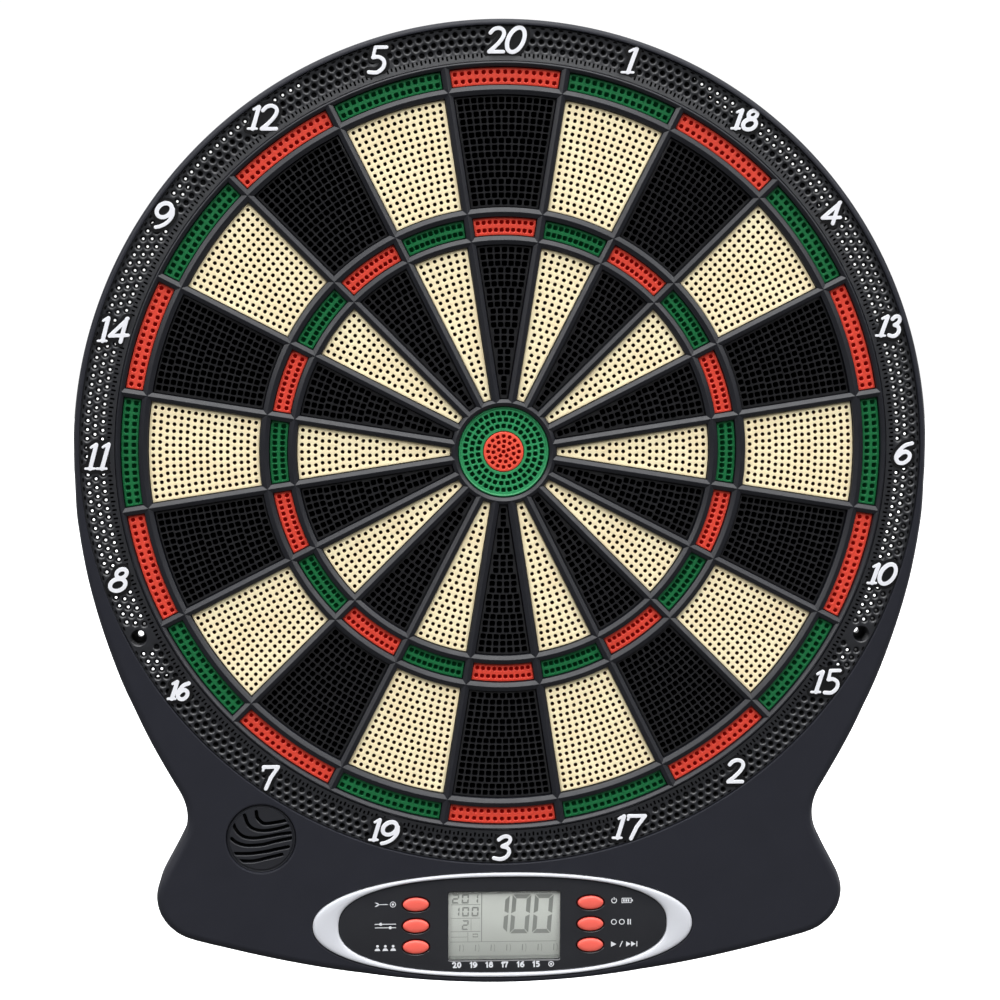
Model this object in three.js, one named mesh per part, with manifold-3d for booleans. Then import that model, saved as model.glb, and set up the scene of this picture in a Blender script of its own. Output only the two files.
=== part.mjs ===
// Electronic soft-tip dartboard: a wall-hung target with twenty sprung scoring
// sectors and a two-part bull behind a moulded spider, a number ring, and a lower
// body that carries the display, the six keys, the loudspeaker and the cells.
//
// Modelled flat (x right, y up, z out from the wall), then the whole assembly is turned
// so that the wall plane is y = 0, the front looks along -y and +z is up.
// Origin: the centre of the bull, on the wall plane. All lengths in millimetres.
// Angles are in degrees, clockwise from the top.

import * as THREE from "three";
import { mergeVertices } from "three/addons/utils/BufferGeometryUtils.js";
import Module from "manifold-3d";

const wasm = await Module();
wasm.setup();

// ---------------------------------------------------------------- shared dimensions
const FIT = 0.3; // usual gap between neighbouring parts
const PAST = 1; // how far a cutter runs past the surface it opens

// radii from the centre of the bull
const R_DOUBLE = 195.3; // outside of the double ring
const SPIDER_RIM = { inner: R_DOUBLE + FIT, outer: 198.2 };
const RING = { inner: SPIDER_RIM.outer + FIT, outer: 216.0 }; // number ring
const R_HOUSING_HOLE = RING.outer + FIT;
const R_BODY = 219.3; // outside of the round part of the body
const ROUND_SIDES = 60; // sides of the large circles

// heights from the wall plane
const Z_PLATE = 2.4; // front of the rear housing's plate
const Z_WELL = 4.4; // top of the case screw wells
const Z_POST = Z_WELL + FIT; // foot of the posts that meet them
const Z_FOAM = [3.6, 6.3];
const Z_MEMBRANE = [6.6, 7.0];
const Z_CARRIER = [8.3, 9.5]; // flanges that hold segments and bulls behind the spider
const Z_WEB = 10.3; // underside of the spider's webs
const Z_WALL = 20.2; // top of the rear housing's round wall
const Z_RING = [20.5, 23.0];
const Z_SEGMENT = 21.0; // playing surface
const Z_SKIN = 21.6; // underside of the front skin
const Z_FACE = 24.0; // front face of the body and crests of the spider

const WALL = 2.4; // wall of the front housing

const SPEAKER = { x: -125.5, y: -201.5, radius: 17.8 };

// control panel
const PANEL = { x: 0.7, y: -248.95 };
const TRIM = { halfWidth: 99.6, halfHeight: 27.95, power: 2.15 };
const PANEL_FLANGE = { halfWidth: 102, halfHeight: 27.2, power: 2.15 };
const PANEL_PLATE = { halfWidth: 86.0, halfHeight: 25.5, power: 2.45 };
const LCD = { x: 1.3, y: -249.55, width: 58.0, height: 36.1 };
const LCD_MODULE = { width: 61.2, height: 40.2 };
const BUTTON = { halfWidth: 6.8, halfHeight: 3.6, power: 2 };
const BUTTON_Y = [-237.5, -249.0, -260.3];
const KEYPADS = [
  { name: "keypad_left", x: -45.1, buttons: ["button_game", "button_option", "button_player"] },
  { name: "keypad_right", x: 46.6, buttons: ["button_power", "button_double", "button_start_next"] },
];
const Z_BOARD = [13.0, 14.6];
const Z_CONNECTOR = [Z_BOARD[1] + FIT, 17.5];

// battery bay: three AA cells lying across
const CELL = { diameter: 14.5, length: 50.5, pitch: 15, x0: 105.0, z: 10.4 };
const BAY = { x0: 102.2, x1: 158.2, y0: -245.2, y1: -199.2 };
const BAY_X = (BAY.x0 + BAY.x1) / 2;
const BAY_Y = (BAY.y0 + BAY.y1) / 2;
const CELL_YS = [1, 0, -1].map((i) => BAY_Y + i * CELL.pitch);
const DOOR_LEDGE = 0.8; // how far the door opening is smaller than the bay, per side
const DOOR_GAP = 0.4;

// case screws: four in the lower body, two in the number ring
const BODY_SCREWS = [
  [-152, -177],
  [152, -177],
  [-112, -258],
  [112, -258],
];
const RING_SCREWS = [-17, 17].map((angle) => polar(210.2, angle));
const CASE_SCREWS = [...BODY_SCREWS, ...RING_SCREWS];
const WALL_BOSSES = [
  [-187.5, -95.75],
  [187.5, -95.75],
];

// right-hand edge of the body as [x, y], from the round part down towards the middle of the foot
const FLANK = [
  [218.85, -14], [218.25, -30], [216.7, -43], [214.2, -58.4], [211.55, -71],
  [208.35, -83.5], [204.6, -96.1], [200.35, -108.7], [195.5, -121.4],
  [189.8, -134.1], [183.9, -146.9], [177.35, -159.5], [170.2, -172.3],
  [166.6, -178.7], [164.3, -185.1], [163.75, -191.5], [164.95, -198],
  [167.9, -204.4], [171.25, -210.9], [174.7, -217.3], [177.9, -223.7],
  [179.75, -230.2], [179.6, -236.6], [177.4, -243.1], [172.4, -249.6],
  [163.5, -255.1], [142.4, -260.9], [121.4, -266.0], [100.3, -270.45],
  [79.2, -274.05], [58, -276.75], [37, -278.7], [15.9, -279.9],
];
const FOOT = [0, -280.25];

// ---------------------------------------------------------------- finishes
const FINISH = {
  housing: { color: 0x2b2d33, roughness: 0.55 },
  ring: { color: 0x1f2126, roughness: 0.6 },
  spider: { color: 0x2a2c31, roughness: 0.5 },
  cream: { color: 0xffeec4, roughness: 0.55 },
  black: { color: 0x101012, roughness: 0.6 },
  red: { color: 0xe04a36, roughness: 0.5 },
  green: { color: 0x126b3e, roughness: 0.5 },
  panel: { color: 0x17181c, roughness: 0.3 },
  trim: { color: 0xdfe0e6, roughness: 0.3, metalness: 0.1 },
  glass: { color: 0xd6dcd8, roughness: 0.08 },
  lcd: { color: 0xb2b6ae, roughness: 0.4 },
  button: { color: 0xff6a5c, roughness: 0.45 },
  rubber: { color: 0x8b9096, roughness: 0.8 },
  board: { color: 0x1d5b34, roughness: 0.5 },
  foam: { color: 0x3a3b3f, roughness: 0.95 },
  film: { color: 0xcfd3c4, roughness: 0.35 },
  contact: { color: 0xb9c0c4, roughness: 0.35, metalness: 0.8 },
  steel: { color: 0xb6b8bc, roughness: 0.35, metalness: 0.9 },
  cell: { color: 0x2a5fa8, roughness: 0.4, metalness: 0.2 },
  redWire: { color: 0xc03028, roughness: 0.5 },
  blackWire: { color: 0x222222, roughness: 0.5 },
};

// ---------------------------------------------------------------- outlines
function polar(radius, angle) {
  const turn = THREE.MathUtils.degToRad(angle);
  return [radius * Math.sin(turn), radius * Math.cos(turn)];
}

function arc(radius, from, to, steps) {
  return Array.from({ length: steps + 1 }, (_, i) => polar(radius, from + ((to - from) * i) / steps));
}

function annularSector(inner, outer, from, to, steps) {
  return [...arc(inner, from, to, steps), ...arc(outer, to, from, steps)];
}

// superellipse |x / halfWidth|^power + |y / halfHeight|^power = 1, enlarged by `grow`
function oval({ halfWidth, halfHeight, power }, sides, x, y, grow = 0) {
  const bend = (value) => Math.sign(value) * Math.abs(value) ** (2 / power);
  return Array.from({ length: sides }, (_, i) => {
    const turn = (2 * Math.PI * i) / sides;
    return [
      x + (halfWidth + grow) * bend(Math.cos(turn)),
      y + (halfHeight + grow) * bend(Math.sin(turn)),
    ];
  });
}

function circle(radius, sides, x = 0, y = 0) {
  return oval({ halfWidth: radius, halfHeight: radius, power: 2 }, sides, x, y);
}

const rect = (x0, y0, x1, y1) => [[x0, y0], [x1, y0], [x1, y1], [x0, y1]];

function rectAt(x, y, width, height) {
  return rect(x - width / 2, y - height / 2, x + width / 2, y + height / 2);
}

// closed clockwise outline moved inwards
function inset(outline, distance) {
  const count = outline.length;
  return outline.map(([x, y], i) => {
    const before = outline[(i + count - 1) % count];
    const after = outline[(i + 1) % count];
    const along = new THREE.Vector2(after[0] - before[0], after[1] - before[1]).normalize();
    return [x + along.y * distance, y - along.x * distance];
  });
}

// ---------------------------------------------------------------- solids
const vectors = (points) => points.map((point) => new THREE.Vector2(...point));

function toSolid(geometry) {
  const loose = geometry.index ? geometry.toNonIndexed() : geometry.clone();
  loose.deleteAttribute("normal");
  loose.deleteAttribute("uv");
  const welded = mergeVertices(loose, 1e-4);
  return new wasm.Manifold(
    new wasm.Mesh({
      numProp: 3,
      vertProperties: new Float32Array(welded.attributes.position.array),
      triVerts: new Uint32Array(welded.index.array),
    }),
  );
}

function prism(outline, z0, z1, holes = []) {
  const shape = new THREE.Shape(vectors(outline));
  for (const hole of holes) shape.holes.push(new THREE.Path(vectors(hole)));
  const geometry = new THREE.ExtrudeGeometry(shape, { depth: z1 - z0, bevelEnabled: false });
  geometry.translate(0, 0, z0);
  return toSolid(geometry);
}

function disc(radius, z0, z1, sides, x = 0, y = 0) {
  return prism(circle(radius, sides, x, y), z0, z1);
}

const union = (solids) => solids.reduce((sum, solid) => sum.add(solid));
const cut = (solid, tools) => tools.reduce((rest, tool) => rest.subtract(tool), solid);

const group = new THREE.Group();
const assembly = new THREE.Group();
assembly.rotation.x = Math.PI / 2;
group.add(assembly);

function place(name, solid, finish) {
  const { vertProperties, triVerts } = solid.getMesh();
  const geometry = new THREE.BufferGeometry();
  geometry.setAttribute("position", new THREE.BufferAttribute(new Float32Array(vertProperties), 3));
  geometry.setIndex(new THREE.BufferAttribute(new Uint32Array(triVerts), 1));
  geometry.computeVertexNormals();
  const material = new THREE.MeshStandardMaterial({ ...finish, flatShading: true });
  const mesh = new THREE.Mesh(geometry, material);
  mesh.name = name;
  assembly.add(mesh);
}

// ---------------------------------------------------------------- target face
const NUMBERS = [20, 1, 18, 4, 13, 6, 10, 15, 2, 17, 3, 19, 7, 16, 8, 11, 14, 9, 12, 5];
const SECTOR_ANGLE = 360 / NUMBERS.length;
const WEB_HALF = 2.15; // half thickness of a radial web of the spider
const CARRIER = { inner: 28.4, outer: 194.8, innerSteps: 1 };
const CARRIER_SIDE = 0.35; // from a carrier's side to the sector's edge
const SEGMENT_ROOT = Z_CARRIER[0] + 0.6; // foot of a segment, sunk into its carrier
const SCORING_RINGS = [
  { inner: 27.5, outer: 105.8, innerSteps: 1 }, // inner single
  { inner: 110.9, outer: 119.9, innerSteps: 2 }, // treble
  { inner: 125.2, outer: 181.3, innerSteps: 2 }, // outer single
  { inner: 186.6, outer: R_DOUBLE, innerSteps: 2 }, // double
];

// One cell of the face, its straight sides parallel to the sector's edges and `side`
// away from them, its two arcs moved apart by `grow` each.
function cellOutline(ring, middle, side, grow = 0) {
  const inner = ring.inner - grow;
  const outer = ring.outer + grow;
  const halfAngle = (radius) =>
    SECTOR_ANGLE / 2 - THREE.MathUtils.radToDeg(Math.asin(side / radius));
  return [
    ...arc(inner, middle - halfAngle(inner), middle + halfAngle(inner), ring.innerSteps),
    ...arc(outer, middle + halfAngle(outer), middle - halfAngle(outer), 2),
  ];
}

// four segments on a common carrier
function sector(middle) {
  return union([
    prism(cellOutline(CARRIER, middle, CARRIER_SIDE), ...Z_CARRIER),
    ...SCORING_RINGS.map((ring) =>
      prism(cellOutline(ring, middle, WEB_HALF + FIT), SEGMENT_ROOT, Z_SEGMENT),
    ),
  ]);
}

NUMBERS.forEach((number, i) => {
  const name = `sector_${String(number).padStart(2, "0")}`;
  place(name, sector(SECTOR_ANGLE * i), i % 2 ? FINISH.cream : FINISH.black);
});

const BULL = { foot: 9.0, outer: 23.3, inner: 10.3, outerSides: 24, innerSides: 18 };
const BULL_FLANGE = { outer: 25.6, inner: 12.2, innerGap: 0.4 };

// opening that the membrane's tail passes through
const tailSlot = (y0, y1, z0, z1) => prism(rect(-11, y0, 11, y1), z0, z1);

// pockets for every segment, a round pocket for the bull, a deep outer wall
function spider() {
  const pocket = [Z_WEB - PAST, Z_FACE + PAST];
  const segmentPockets = NUMBERS.flatMap((_, i) =>
    SCORING_RINGS.map((ring) =>
      prism(cellOutline(ring, SECTOR_ANGLE * i, WEB_HALF, FIT), ...pocket),
    ),
  );
  return cut(disc(SPIDER_RIM.outer, 3.0, Z_FACE, ROUND_SIDES), [
    disc(SPIDER_RIM.inner, 2.0, Z_WEB, ROUND_SIDES),
    ...segmentPockets,
    disc(BULL.outer + FIT, ...pocket, BULL.outerSides),
    tailSlot(-200, -190, 2.0, 8.0),
  ]);
}

function outerBull() {
  const solid = union([
    disc(BULL.outer, BULL.foot, Z_SEGMENT, BULL.outerSides),
    disc(BULL_FLANGE.outer, ...Z_CARRIER, BULL.outerSides),
  ]);
  return cut(solid, [
    disc(BULL.inner + FIT, 7, 23, BULL.innerSides),
    disc(BULL_FLANGE.inner + BULL_FLANGE.innerGap, 7, 11.0, BULL.innerSides),
  ]);
}

function innerBull() {
  return union([
    disc(BULL.inner, BULL.foot, Z_SEGMENT, BULL.innerSides),
    disc(BULL_FLANGE.inner, ...Z_CARRIER, BULL.innerSides),
  ]);
}

const screwPilot = ([x, y]) => disc(1.75, 4, 16, 8, x, y);

// ring with two posts for case screws and two bosses for wall screws
function numberRing() {
  const solid = union([
    prism(circle(RING.outer, ROUND_SIDES), ...Z_RING, [circle(RING.inner, ROUND_SIDES)]),
    ...RING_SCREWS.map(([x, y]) => disc(3.4, Z_POST, Z_RING[0] + 0.5, 10, x, y)),
    ...WALL_BOSSES.map(([x, y]) => disc(5.2, 0, Z_RING[1], 16, x, y)),
  ]);
  return cut(solid, [
    ...RING_SCREWS.map(screwPilot),
    ...WALL_BOSSES.flatMap(([x, y]) => [
      disc(4.0, 9, Z_RING[1] + PAST, 16, x, y), // front recess
      disc(1.6, 4, 10, 10, x, y), // screw hole
      disc(3.2, -PAST, 5, 10, x, y), // rear recess
    ]),
  ]);
}

place("spider", spider(), FINISH.spider);
place("bull_outer", outerBull(), FINISH.green);
place("bull_inner", innerBull(), FINISH.red);
place("number_ring", numberRing(), FINISH.ring);

// ---------------------------------------------------------------- housings
// whole edge of the body, clockwise from the left end of the round part
const BODY_EDGE = [
  ...arc(R_BODY, -93, 93, 36),
  ...FLANK,
  FOOT,
  ...[...FLANK].reverse().map(([x, y]) => [-x, y]),
];

// the body's edge below a height, moved inwards: right side down, foot, left side up
function lowerEdge(top, distance) {
  return inset(BODY_EDGE, distance).filter((_, i) => BODY_EDGE[i][1] < top);
}

const panelOval = (shape, grow = 0) => oval(shape, 36, PANEL.x, PANEL.y, grow);

function frontHousing() {
  const ringWall = R_HOUSING_HOLE + WALL;
  // hollow of the lower body, between the ring wall and the outer wall
  const hollow = [...lowerEdge(-84, WALL), ...arc(ringWall, 246, 114, 18)];
  // the rear housing's plate passes under the ring wall
  const platePassage = annularSector(R_HOUSING_HOLE - 1, ringWall + 0.9, 121, 239, 14);
  const faceCut = [18, 26];
  const shell = prism(BODY_EDGE, 0, Z_FACE, [circle(R_HOUSING_HOLE, ROUND_SIDES)]);
  const opened = cut(shell, [
    prism(hollow, -PAST, Z_SKIN),
    prism(platePassage, -PAST, 2.8),
    tailSlot(-222, -212, 2, 9),
    prism(panelOval(TRIM, FIT), ...faceCut),
    disc(SPEAKER.radius + FIT, ...faceCut, 24, SPEAKER.x, SPEAKER.y),
  ]);
  const posts = BODY_SCREWS.map(([x, y]) => disc(3.8, Z_POST, Z_SKIN + 0.6, 10, x, y));
  return cut(union([opened, ...posts]), BODY_SCREWS.map(screwPilot));
}

// [angle, radius] of the rear plate and of its round wall, mirrored left to right: full
// behind the top of the number ring, drawn in at the sides so the ring stands clear
const REAR_PLATE = [
  [0, 215.4], [27, 215.4], [31, 210.6], [48, 210.6],
  [58, 203.2], [112, 203.2], [122, 206.5], [180, 206.5],
];
const REAR_WALL = [[0, 206.5], [48, 206.5], [58, 203.2], [112, 203.2], [122, 206.5], [180, 206.5]];
const REAR_WALL_THICKNESS = 2.3;

// closed outline through such a table, drawn in by `distance`; counter-clockwise
function rearOutline(table, distance = 0) {
  const stations = new Set(table.map(([angle]) => angle));
  for (let angle = 0; angle <= 180; angle += 7.5) stations.add(angle);
  const angles = [...stations].sort((first, second) => first - second);
  const radiusAt = (angle) => {
    const i = table.findIndex(([end], j) => j > 0 && angle <= end);
    const [[angle0, radius0], [angle1, radius1]] = [table[i - 1], table[i]];
    return THREE.MathUtils.mapLinear(angle, angle0, angle1, radius0, radius1) - distance;
  };
  const right = angles.map((angle) => polar(radiusAt(angle), angle));
  const left = angles.slice(1, -1).reverse().map((angle) => polar(radiusAt(angle), -angle));
  return [...right, ...left].reverse();
}

// outline of the battery bay, enlarged on every side
const bayOutline = (grow = 0) =>
  rect(BAY.x0 - grow, BAY.y0 - grow, BAY.x1 + grow, BAY.y1 + grow);

// ribs inside that hold the damping mat
function matRibs() {
  const ribs = [];
  for (const angle of [0, 60, 120])
    for (const radius of [55, 150]) {
      const [x, y] = polar(radius, angle);
      for (const side of [1, -1]) ribs.push(prism(rectAt(side * x, side * y, 28, 1.6), 2, 3.3));
    }
  return ribs;
}

function rearHousing() {
  const solid = union([
    prism(rearOutline(REAR_PLATE), 0, Z_PLATE),
    prism(lowerEdge(-121, WALL + 0.35), 0, Z_PLATE),
    prism(rearOutline(REAR_WALL), 1, Z_WALL, [rearOutline(REAR_WALL, REAR_WALL_THICKNESS)]),
    prism(bayOutline(1.6), 1, 19.4),
  ]);
  let rear = cut(solid, [
    prism(bayOutline(), Z_PLATE, 18.0),
    prism(bayOutline(-DOOR_LEDGE), -PAST, 4),
    prism(rect(BAY_X - 6.2, -247.6, BAY_X + 6.2, -243), -PAST, 1.2), // finger scoop for the door
  ]);
  for (const [x, y] of CASE_SCREWS)
    rear = cut(rear.add(disc(5.0, 0, Z_WELL, 12, x, y)), [
      disc(3.5, -PAST, 2.4, 12, x, y), // room for the head
      disc(1.8, 1, 6, 8, x, y), // room for the shank
    ]);
  rear = cut(rear, [
    ...WALL_BOSSES.map(([x, y]) => disc(7.0, -PAST, 22, 16, x, y)),
    tailSlot(-210, -200, Z_PLATE, 9),
  ]);
  return union([rear, ...matRibs()]);
}

// a plate with two tabs at its upper edge and three thumb grooves at its lower one
function batteryDoor() {
  const top = BAY.y1 - DOOR_LEDGE;
  const bottom = BAY.y0 + DOOR_LEDGE;
  const tabs = [114, 140].map((x) =>
    prism(rect(x, top - 3.4, x + 7, top - DOOR_GAP), 2.0, 4.3),
  );
  const grooves = [4, 7, 10].map((rise) =>
    prism(rect(BAY_X - 7.2, bottom + rise, BAY_X + 7.2, bottom + rise + 1.2), 0, 0.9),
  );
  const plate = prism(bayOutline(-DOOR_LEDGE - DOOR_GAP), 0.3, 2.3);
  return cut(union([plate, ...tabs]), grooves);
}

place("front_housing", frontHousing(), FINISH.housing);
place("rear_housing", rearHousing(), FINISH.housing);
place("battery_door", batteryDoor(), FINISH.housing);

// ---------------------------------------------------------------- control panel
const lcdRect = (width, height) => rectAt(LCD.x, LCD.y, width, height);
const buttonOval = (x, y, grow = 0) => oval(BUTTON, 14, x, y, grow);

function controlPanel() {
  const solid = union([
    prism(panelOval(PANEL_PLATE, -0.1), 20.5, 23.8),
    prism(panelOval(PANEL_FLANGE), 19.8, 21.3),
  ]);
  return cut(solid, [
    prism(lcdRect(LCD.width + 2 * FIT, LCD.height + 2 * FIT), 18, 26),
    prism(lcdRect(LCD_MODULE.width + 0.8, LCD_MODULE.height + 0.8), 18, 21.7),
    ...KEYPADS.flatMap(({ x }) => BUTTON_Y.map((y) => prism(buttonOval(x, y, 0.35), 18, 26))),
  ]);
}

function panelTrim() {
  return prism(panelOval(TRIM), 21.6, 24.9, [panelOval(PANEL_PLATE, 0.25)]);
}

function lcdConnector() {
  return prism(rect(LCD.x - 27, LCD.y - 18.5, LCD.x + 27, LCD.y - 16.0), ...Z_CONNECTOR);
}

// cap with a flange behind the panel
function button(x, y) {
  return union([
    prism(buttonOval(x, y), 19.0, 25.2),
    prism(buttonOval(x, y, 1.2), 18.5, 19.5),
  ]);
}

// rubber strip with a round pad behind each button
function keypad(x) {
  return union([
    prism(rect(x - 8, -267, x + 8, -231), Z_BOARD[1] + FIT, 15.9),
    ...BUTTON_Y.map((y) => disc(3.4, 15.5, 17.2, 10, x, y)),
  ]);
}

function circuitBoard() {
  return union([
    prism(rect(-68, -271, 70, -227.5), ...Z_BOARD),
    disc(8.5, 11.6, 13.4, 20, 1.3, -250), // moulded controller chip on the back
  ]);
}

place("control_panel", controlPanel(), FINISH.panel);
place("panel_trim", panelTrim(), FINISH.trim);
place("lcd_window", prism(lcdRect(LCD.width, LCD.height), 22.0, 23.5), FINISH.glass);
place(
  "lcd_module",
  prism(lcdRect(LCD_MODULE.width, LCD_MODULE.height), Z_CONNECTOR[1] + FIT, 21.4),
  FINISH.lcd,
);
place("lcd_connector", lcdConnector(), FINISH.rubber);
for (const { x, buttons } of KEYPADS)
  buttons.forEach((name, i) => place(name, button(x, BUTTON_Y[i]), FINISH.button));
for (const { name, x } of KEYPADS) place(name, keypad(x), FINISH.rubber);
place("circuit_board", circuitBoard(), FINISH.board);

// ---------------------------------------------------------------- loudspeaker
const SLOT = { count: 6, pitch: 4.6, halfWidth: 0.75, fieldRadius: 15, steps: 5 };

// a shallow-curved sound slot, `rise` above the centre of the grille
function soundSlot(rise) {
  const reach = Math.sqrt(SLOT.fieldRadius ** 2 - rise ** 2) * 0.96;
  const edge = (offset) =>
    Array.from({ length: SLOT.steps + 1 }, (_, i) => {
      const along = -1 + (2 * i) / SLOT.steps;
      const wave = 1.5 * Math.sin(2.4 * along + 0.5);
      return [SPEAKER.x + along * reach, SPEAKER.y + rise + wave + offset];
    });
  return prism([...edge(-SLOT.halfWidth), ...edge(SLOT.halfWidth).reverse()], 20, 25);
}

function speakerGrille() {
  const slots = Array.from({ length: SLOT.count }, (_, i) =>
    soundSlot((i - (SLOT.count - 1) / 2) * SLOT.pitch),
  );
  return cut(disc(SPEAKER.radius, 21.2, 23.4, 24, SPEAKER.x, SPEAKER.y), slots);
}

// [radius, z] of the magnet, basket, rim and cone
const SPEAKER_PROFILE = [
  [0, 9.0], [8.0, 9.0], [8.0, 14.5], [14.0, 19.0], [15.6, 19.0],
  [15.6, 20.8], [13.6, 20.8], [5.5, 16.4], [0, 16.9],
];

function speaker() {
  const geometry = new THREE.LatheGeometry(vectors(SPEAKER_PROFILE), 16);
  geometry.rotateX(Math.PI / 2);
  geometry.translate(SPEAKER.x, SPEAKER.y, 0);
  return toSolid(geometry);
}

place("speaker_grille", speakerGrille(), FINISH.ring);
place("speaker", speaker(), FINISH.steel);

// ---------------------------------------------------------------- sensor stack
const R_SENSOR = 193.6;
const RIBBON = { width: 18, halfThickness: 0.2 };
// [y, z] of the ribbon's middle and how far the upper and lower bends shift along y
const RIBBON_LINE = [
  [-194.1, 6.8, 0, 0],
  [-221.5, 6.8, -0.1, 0.12],
  [-229.5, 12.1, -0.1, 0.12],
  [-238.5, 12.1, 0, 0],
];

// flat tail that carries the matrix lines from the membrane to the circuit board
function ribbonCable() {
  const front = RIBBON_LINE.map(([y, z, shift]) => [y + shift, z + RIBBON.halfThickness]);
  const back = RIBBON_LINE.map(([y, z, , shift]) => [y + shift, z - RIBBON.halfThickness]);
  const geometry = new THREE.ExtrudeGeometry(
    new THREE.Shape(vectors([...front, ...back.reverse()])),
    { depth: RIBBON.width, bevelEnabled: false },
  );
  geometry.translate(0, 0, -RIBBON.width / 2);
  // profile lies in y, z and is swept along x
  geometry.applyMatrix4(new THREE.Matrix4().set(0, 0, 1, 0, 1, 0, 0, 0, 0, 1, 0, 0, 0, 0, 0, 1));
  return toSolid(geometry);
}

place("backing_foam", disc(R_SENSOR, ...Z_FOAM, 40), FINISH.foam);
place("sensor_membrane", disc(R_SENSOR, ...Z_MEMBRANE, 40), FINISH.film);
place("ribbon_cable", ribbonCable(), FINISH.film);

// ---------------------------------------------------------------- power
const CAN_LENGTH = 49.2;
const CELL_END = CELL.x0 + CELL.length;
// [radius, distance along the cell]: a can with its button terminal at one end
const CELL_PROFILE = [
  [0, 0], [CELL.diameter / 2, 0], [CELL.diameter / 2, CAN_LENGTH],
  [2.7, CAN_LENGTH], [2.7, CELL.length], [0, CELL.length],
];

function battery(y, flipped) {
  const geometry = new THREE.LatheGeometry(vectors(CELL_PROFILE), 12);
  geometry.rotateZ(flipped ? Math.PI / 2 : -Math.PI / 2);
  geometry.translate(flipped ? CELL_END : CELL.x0, y, CELL.z);
  return toSolid(geometry);
}

const CONTACT = { thickness: 0.5, halfHeight: 5.8, studRadius: 2.2, studRoot: 0.2 };

// upright plate with a stud for each cell, from inside the plate to tipX
function batteryContact(plateX, tipX) {
  const rootX = plateX + CONTACT.studRoot;
  const studs = CELL_YS.map((y) => {
    const length = Math.abs(tipX - rootX);
    const geometry = new THREE.CylinderGeometry(CONTACT.studRadius, CONTACT.studRadius, length, 8);
    geometry.rotateZ(Math.PI / 2);
    geometry.translate((rootX + tipX) / 2, y, CELL.z);
    return toSolid(geometry);
  });
  const plate = prism(
    rect(plateX, BAY.y0 + DOOR_LEDGE, plateX + CONTACT.thickness, BAY.y1 - DOOR_LEDGE),
    CELL.z - CONTACT.halfHeight,
    CELL.z + CONTACT.halfHeight,
  );
  return union([plate, ...studs]);
}

// [x, y, z] along each lead, ending at the circuit board
const BATTERY_LEAD = [
  [100.0, -214, 11], [93, -219, 9], [82, -232, 9], [74, -240, 12], [71.4, -243, 13.8],
];
const SPEAKER_LEAD = [
  [-109.0, -206, 18], [-103, -213, 13], [-90, -228, 9], [-77, -238, 11], [-69.4, -242, 13.8],
];

function lead(points) {
  const path = new THREE.CatmullRomCurve3(points.map((point) => new THREE.Vector3(...point)));
  const section = new THREE.Shape(vectors(circle(0.9, 6)));
  return toSolid(
    new THREE.ExtrudeGeometry(section, { steps: 8, bevelEnabled: false, extrudePath: path }),
  );
}

CELL_YS.forEach((y, i) => place(`battery_${i + 1}`, battery(y, i % 2 === 1), FINISH.cell));
place("battery_contact_inner", batteryContact(BAY.x0 + FIT, CELL.x0 - FIT), FINISH.contact);
place(
  "battery_contact_outer",
  batteryContact(BAY.x1 - FIT - CONTACT.thickness, CELL_END + FIT),
  FINISH.contact,
);
place("battery_lead", lead(BATTERY_LEAD), FINISH.redWire);
place("speaker_lead", lead(SPEAKER_LEAD), FINISH.blackWire);

// ---------------------------------------------------------------- case screws
// head with a cross slot, and a plain shank
function caseScrew([x, y]) {
  const solid = union([disc(3.1, 0.5, 2.1, 12, x, y), disc(1.4, 1.5, 14.0, 6, x, y)]);
  return cut(solid, [
    prism(rectAt(x, y, 4.0, 0.7), 0, 1.3),
    prism(rectAt(x, y, 0.7, 4.0), 0, 1.3),
  ]);
}

CASE_SCREWS.forEach((centre, i) => place(`case_screw_${i + 1}`, caseScrew(centre), FINISH.steel));

export default group;
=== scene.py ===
"""Electronic dartboard: pierced segments in a spider, a number ring and a control panel below.

Everything is drawn in the board frame, in millimetres: x right, y up, z out from the wall
towards the player, with the bull on the z axis. make() turns it into scene metres as
(x, -z, y) / 1000, so the board faces -Y. Angles given to polar() run clockwise from the top
as the player sees it.
"""
import math

import bmesh
import bpy
import numpy as np
from mathutils import Matrix, Vector
from mathutils.geometry import delaunay_2d_cdt


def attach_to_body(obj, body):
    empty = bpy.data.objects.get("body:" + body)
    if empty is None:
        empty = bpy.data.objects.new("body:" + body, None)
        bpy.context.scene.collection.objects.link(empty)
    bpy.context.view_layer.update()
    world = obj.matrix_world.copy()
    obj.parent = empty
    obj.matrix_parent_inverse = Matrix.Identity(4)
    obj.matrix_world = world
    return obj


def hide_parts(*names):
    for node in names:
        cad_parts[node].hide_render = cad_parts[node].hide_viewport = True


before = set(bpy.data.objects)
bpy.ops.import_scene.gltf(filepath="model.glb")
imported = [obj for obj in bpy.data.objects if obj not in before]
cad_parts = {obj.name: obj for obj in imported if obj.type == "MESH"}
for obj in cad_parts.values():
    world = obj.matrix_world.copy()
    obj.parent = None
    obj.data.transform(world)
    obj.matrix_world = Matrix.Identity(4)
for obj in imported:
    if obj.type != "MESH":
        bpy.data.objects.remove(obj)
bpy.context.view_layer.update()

# ------------------------------------------------------------------ shared dimensions
FACE_Z = 24.0  # front face of the housing and spider
SEGMENT_Z = 21.0  # front face of the segments
FOOT_Z = 8.3  # back of the segments
SPIDER_BACK_Z = 10.3
RING_Z = 22.5  # front face of the number ring
RING_BACK_Z = 20.5
CAVITY_Z = 21.6  # floor of the housing's cavity, behind its front skin
PANEL_Z = 23.8  # front face of the control panel
REAR_SKIN_Z = 2.4  # inner face of the rear plate; its outer face is at 0

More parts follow.
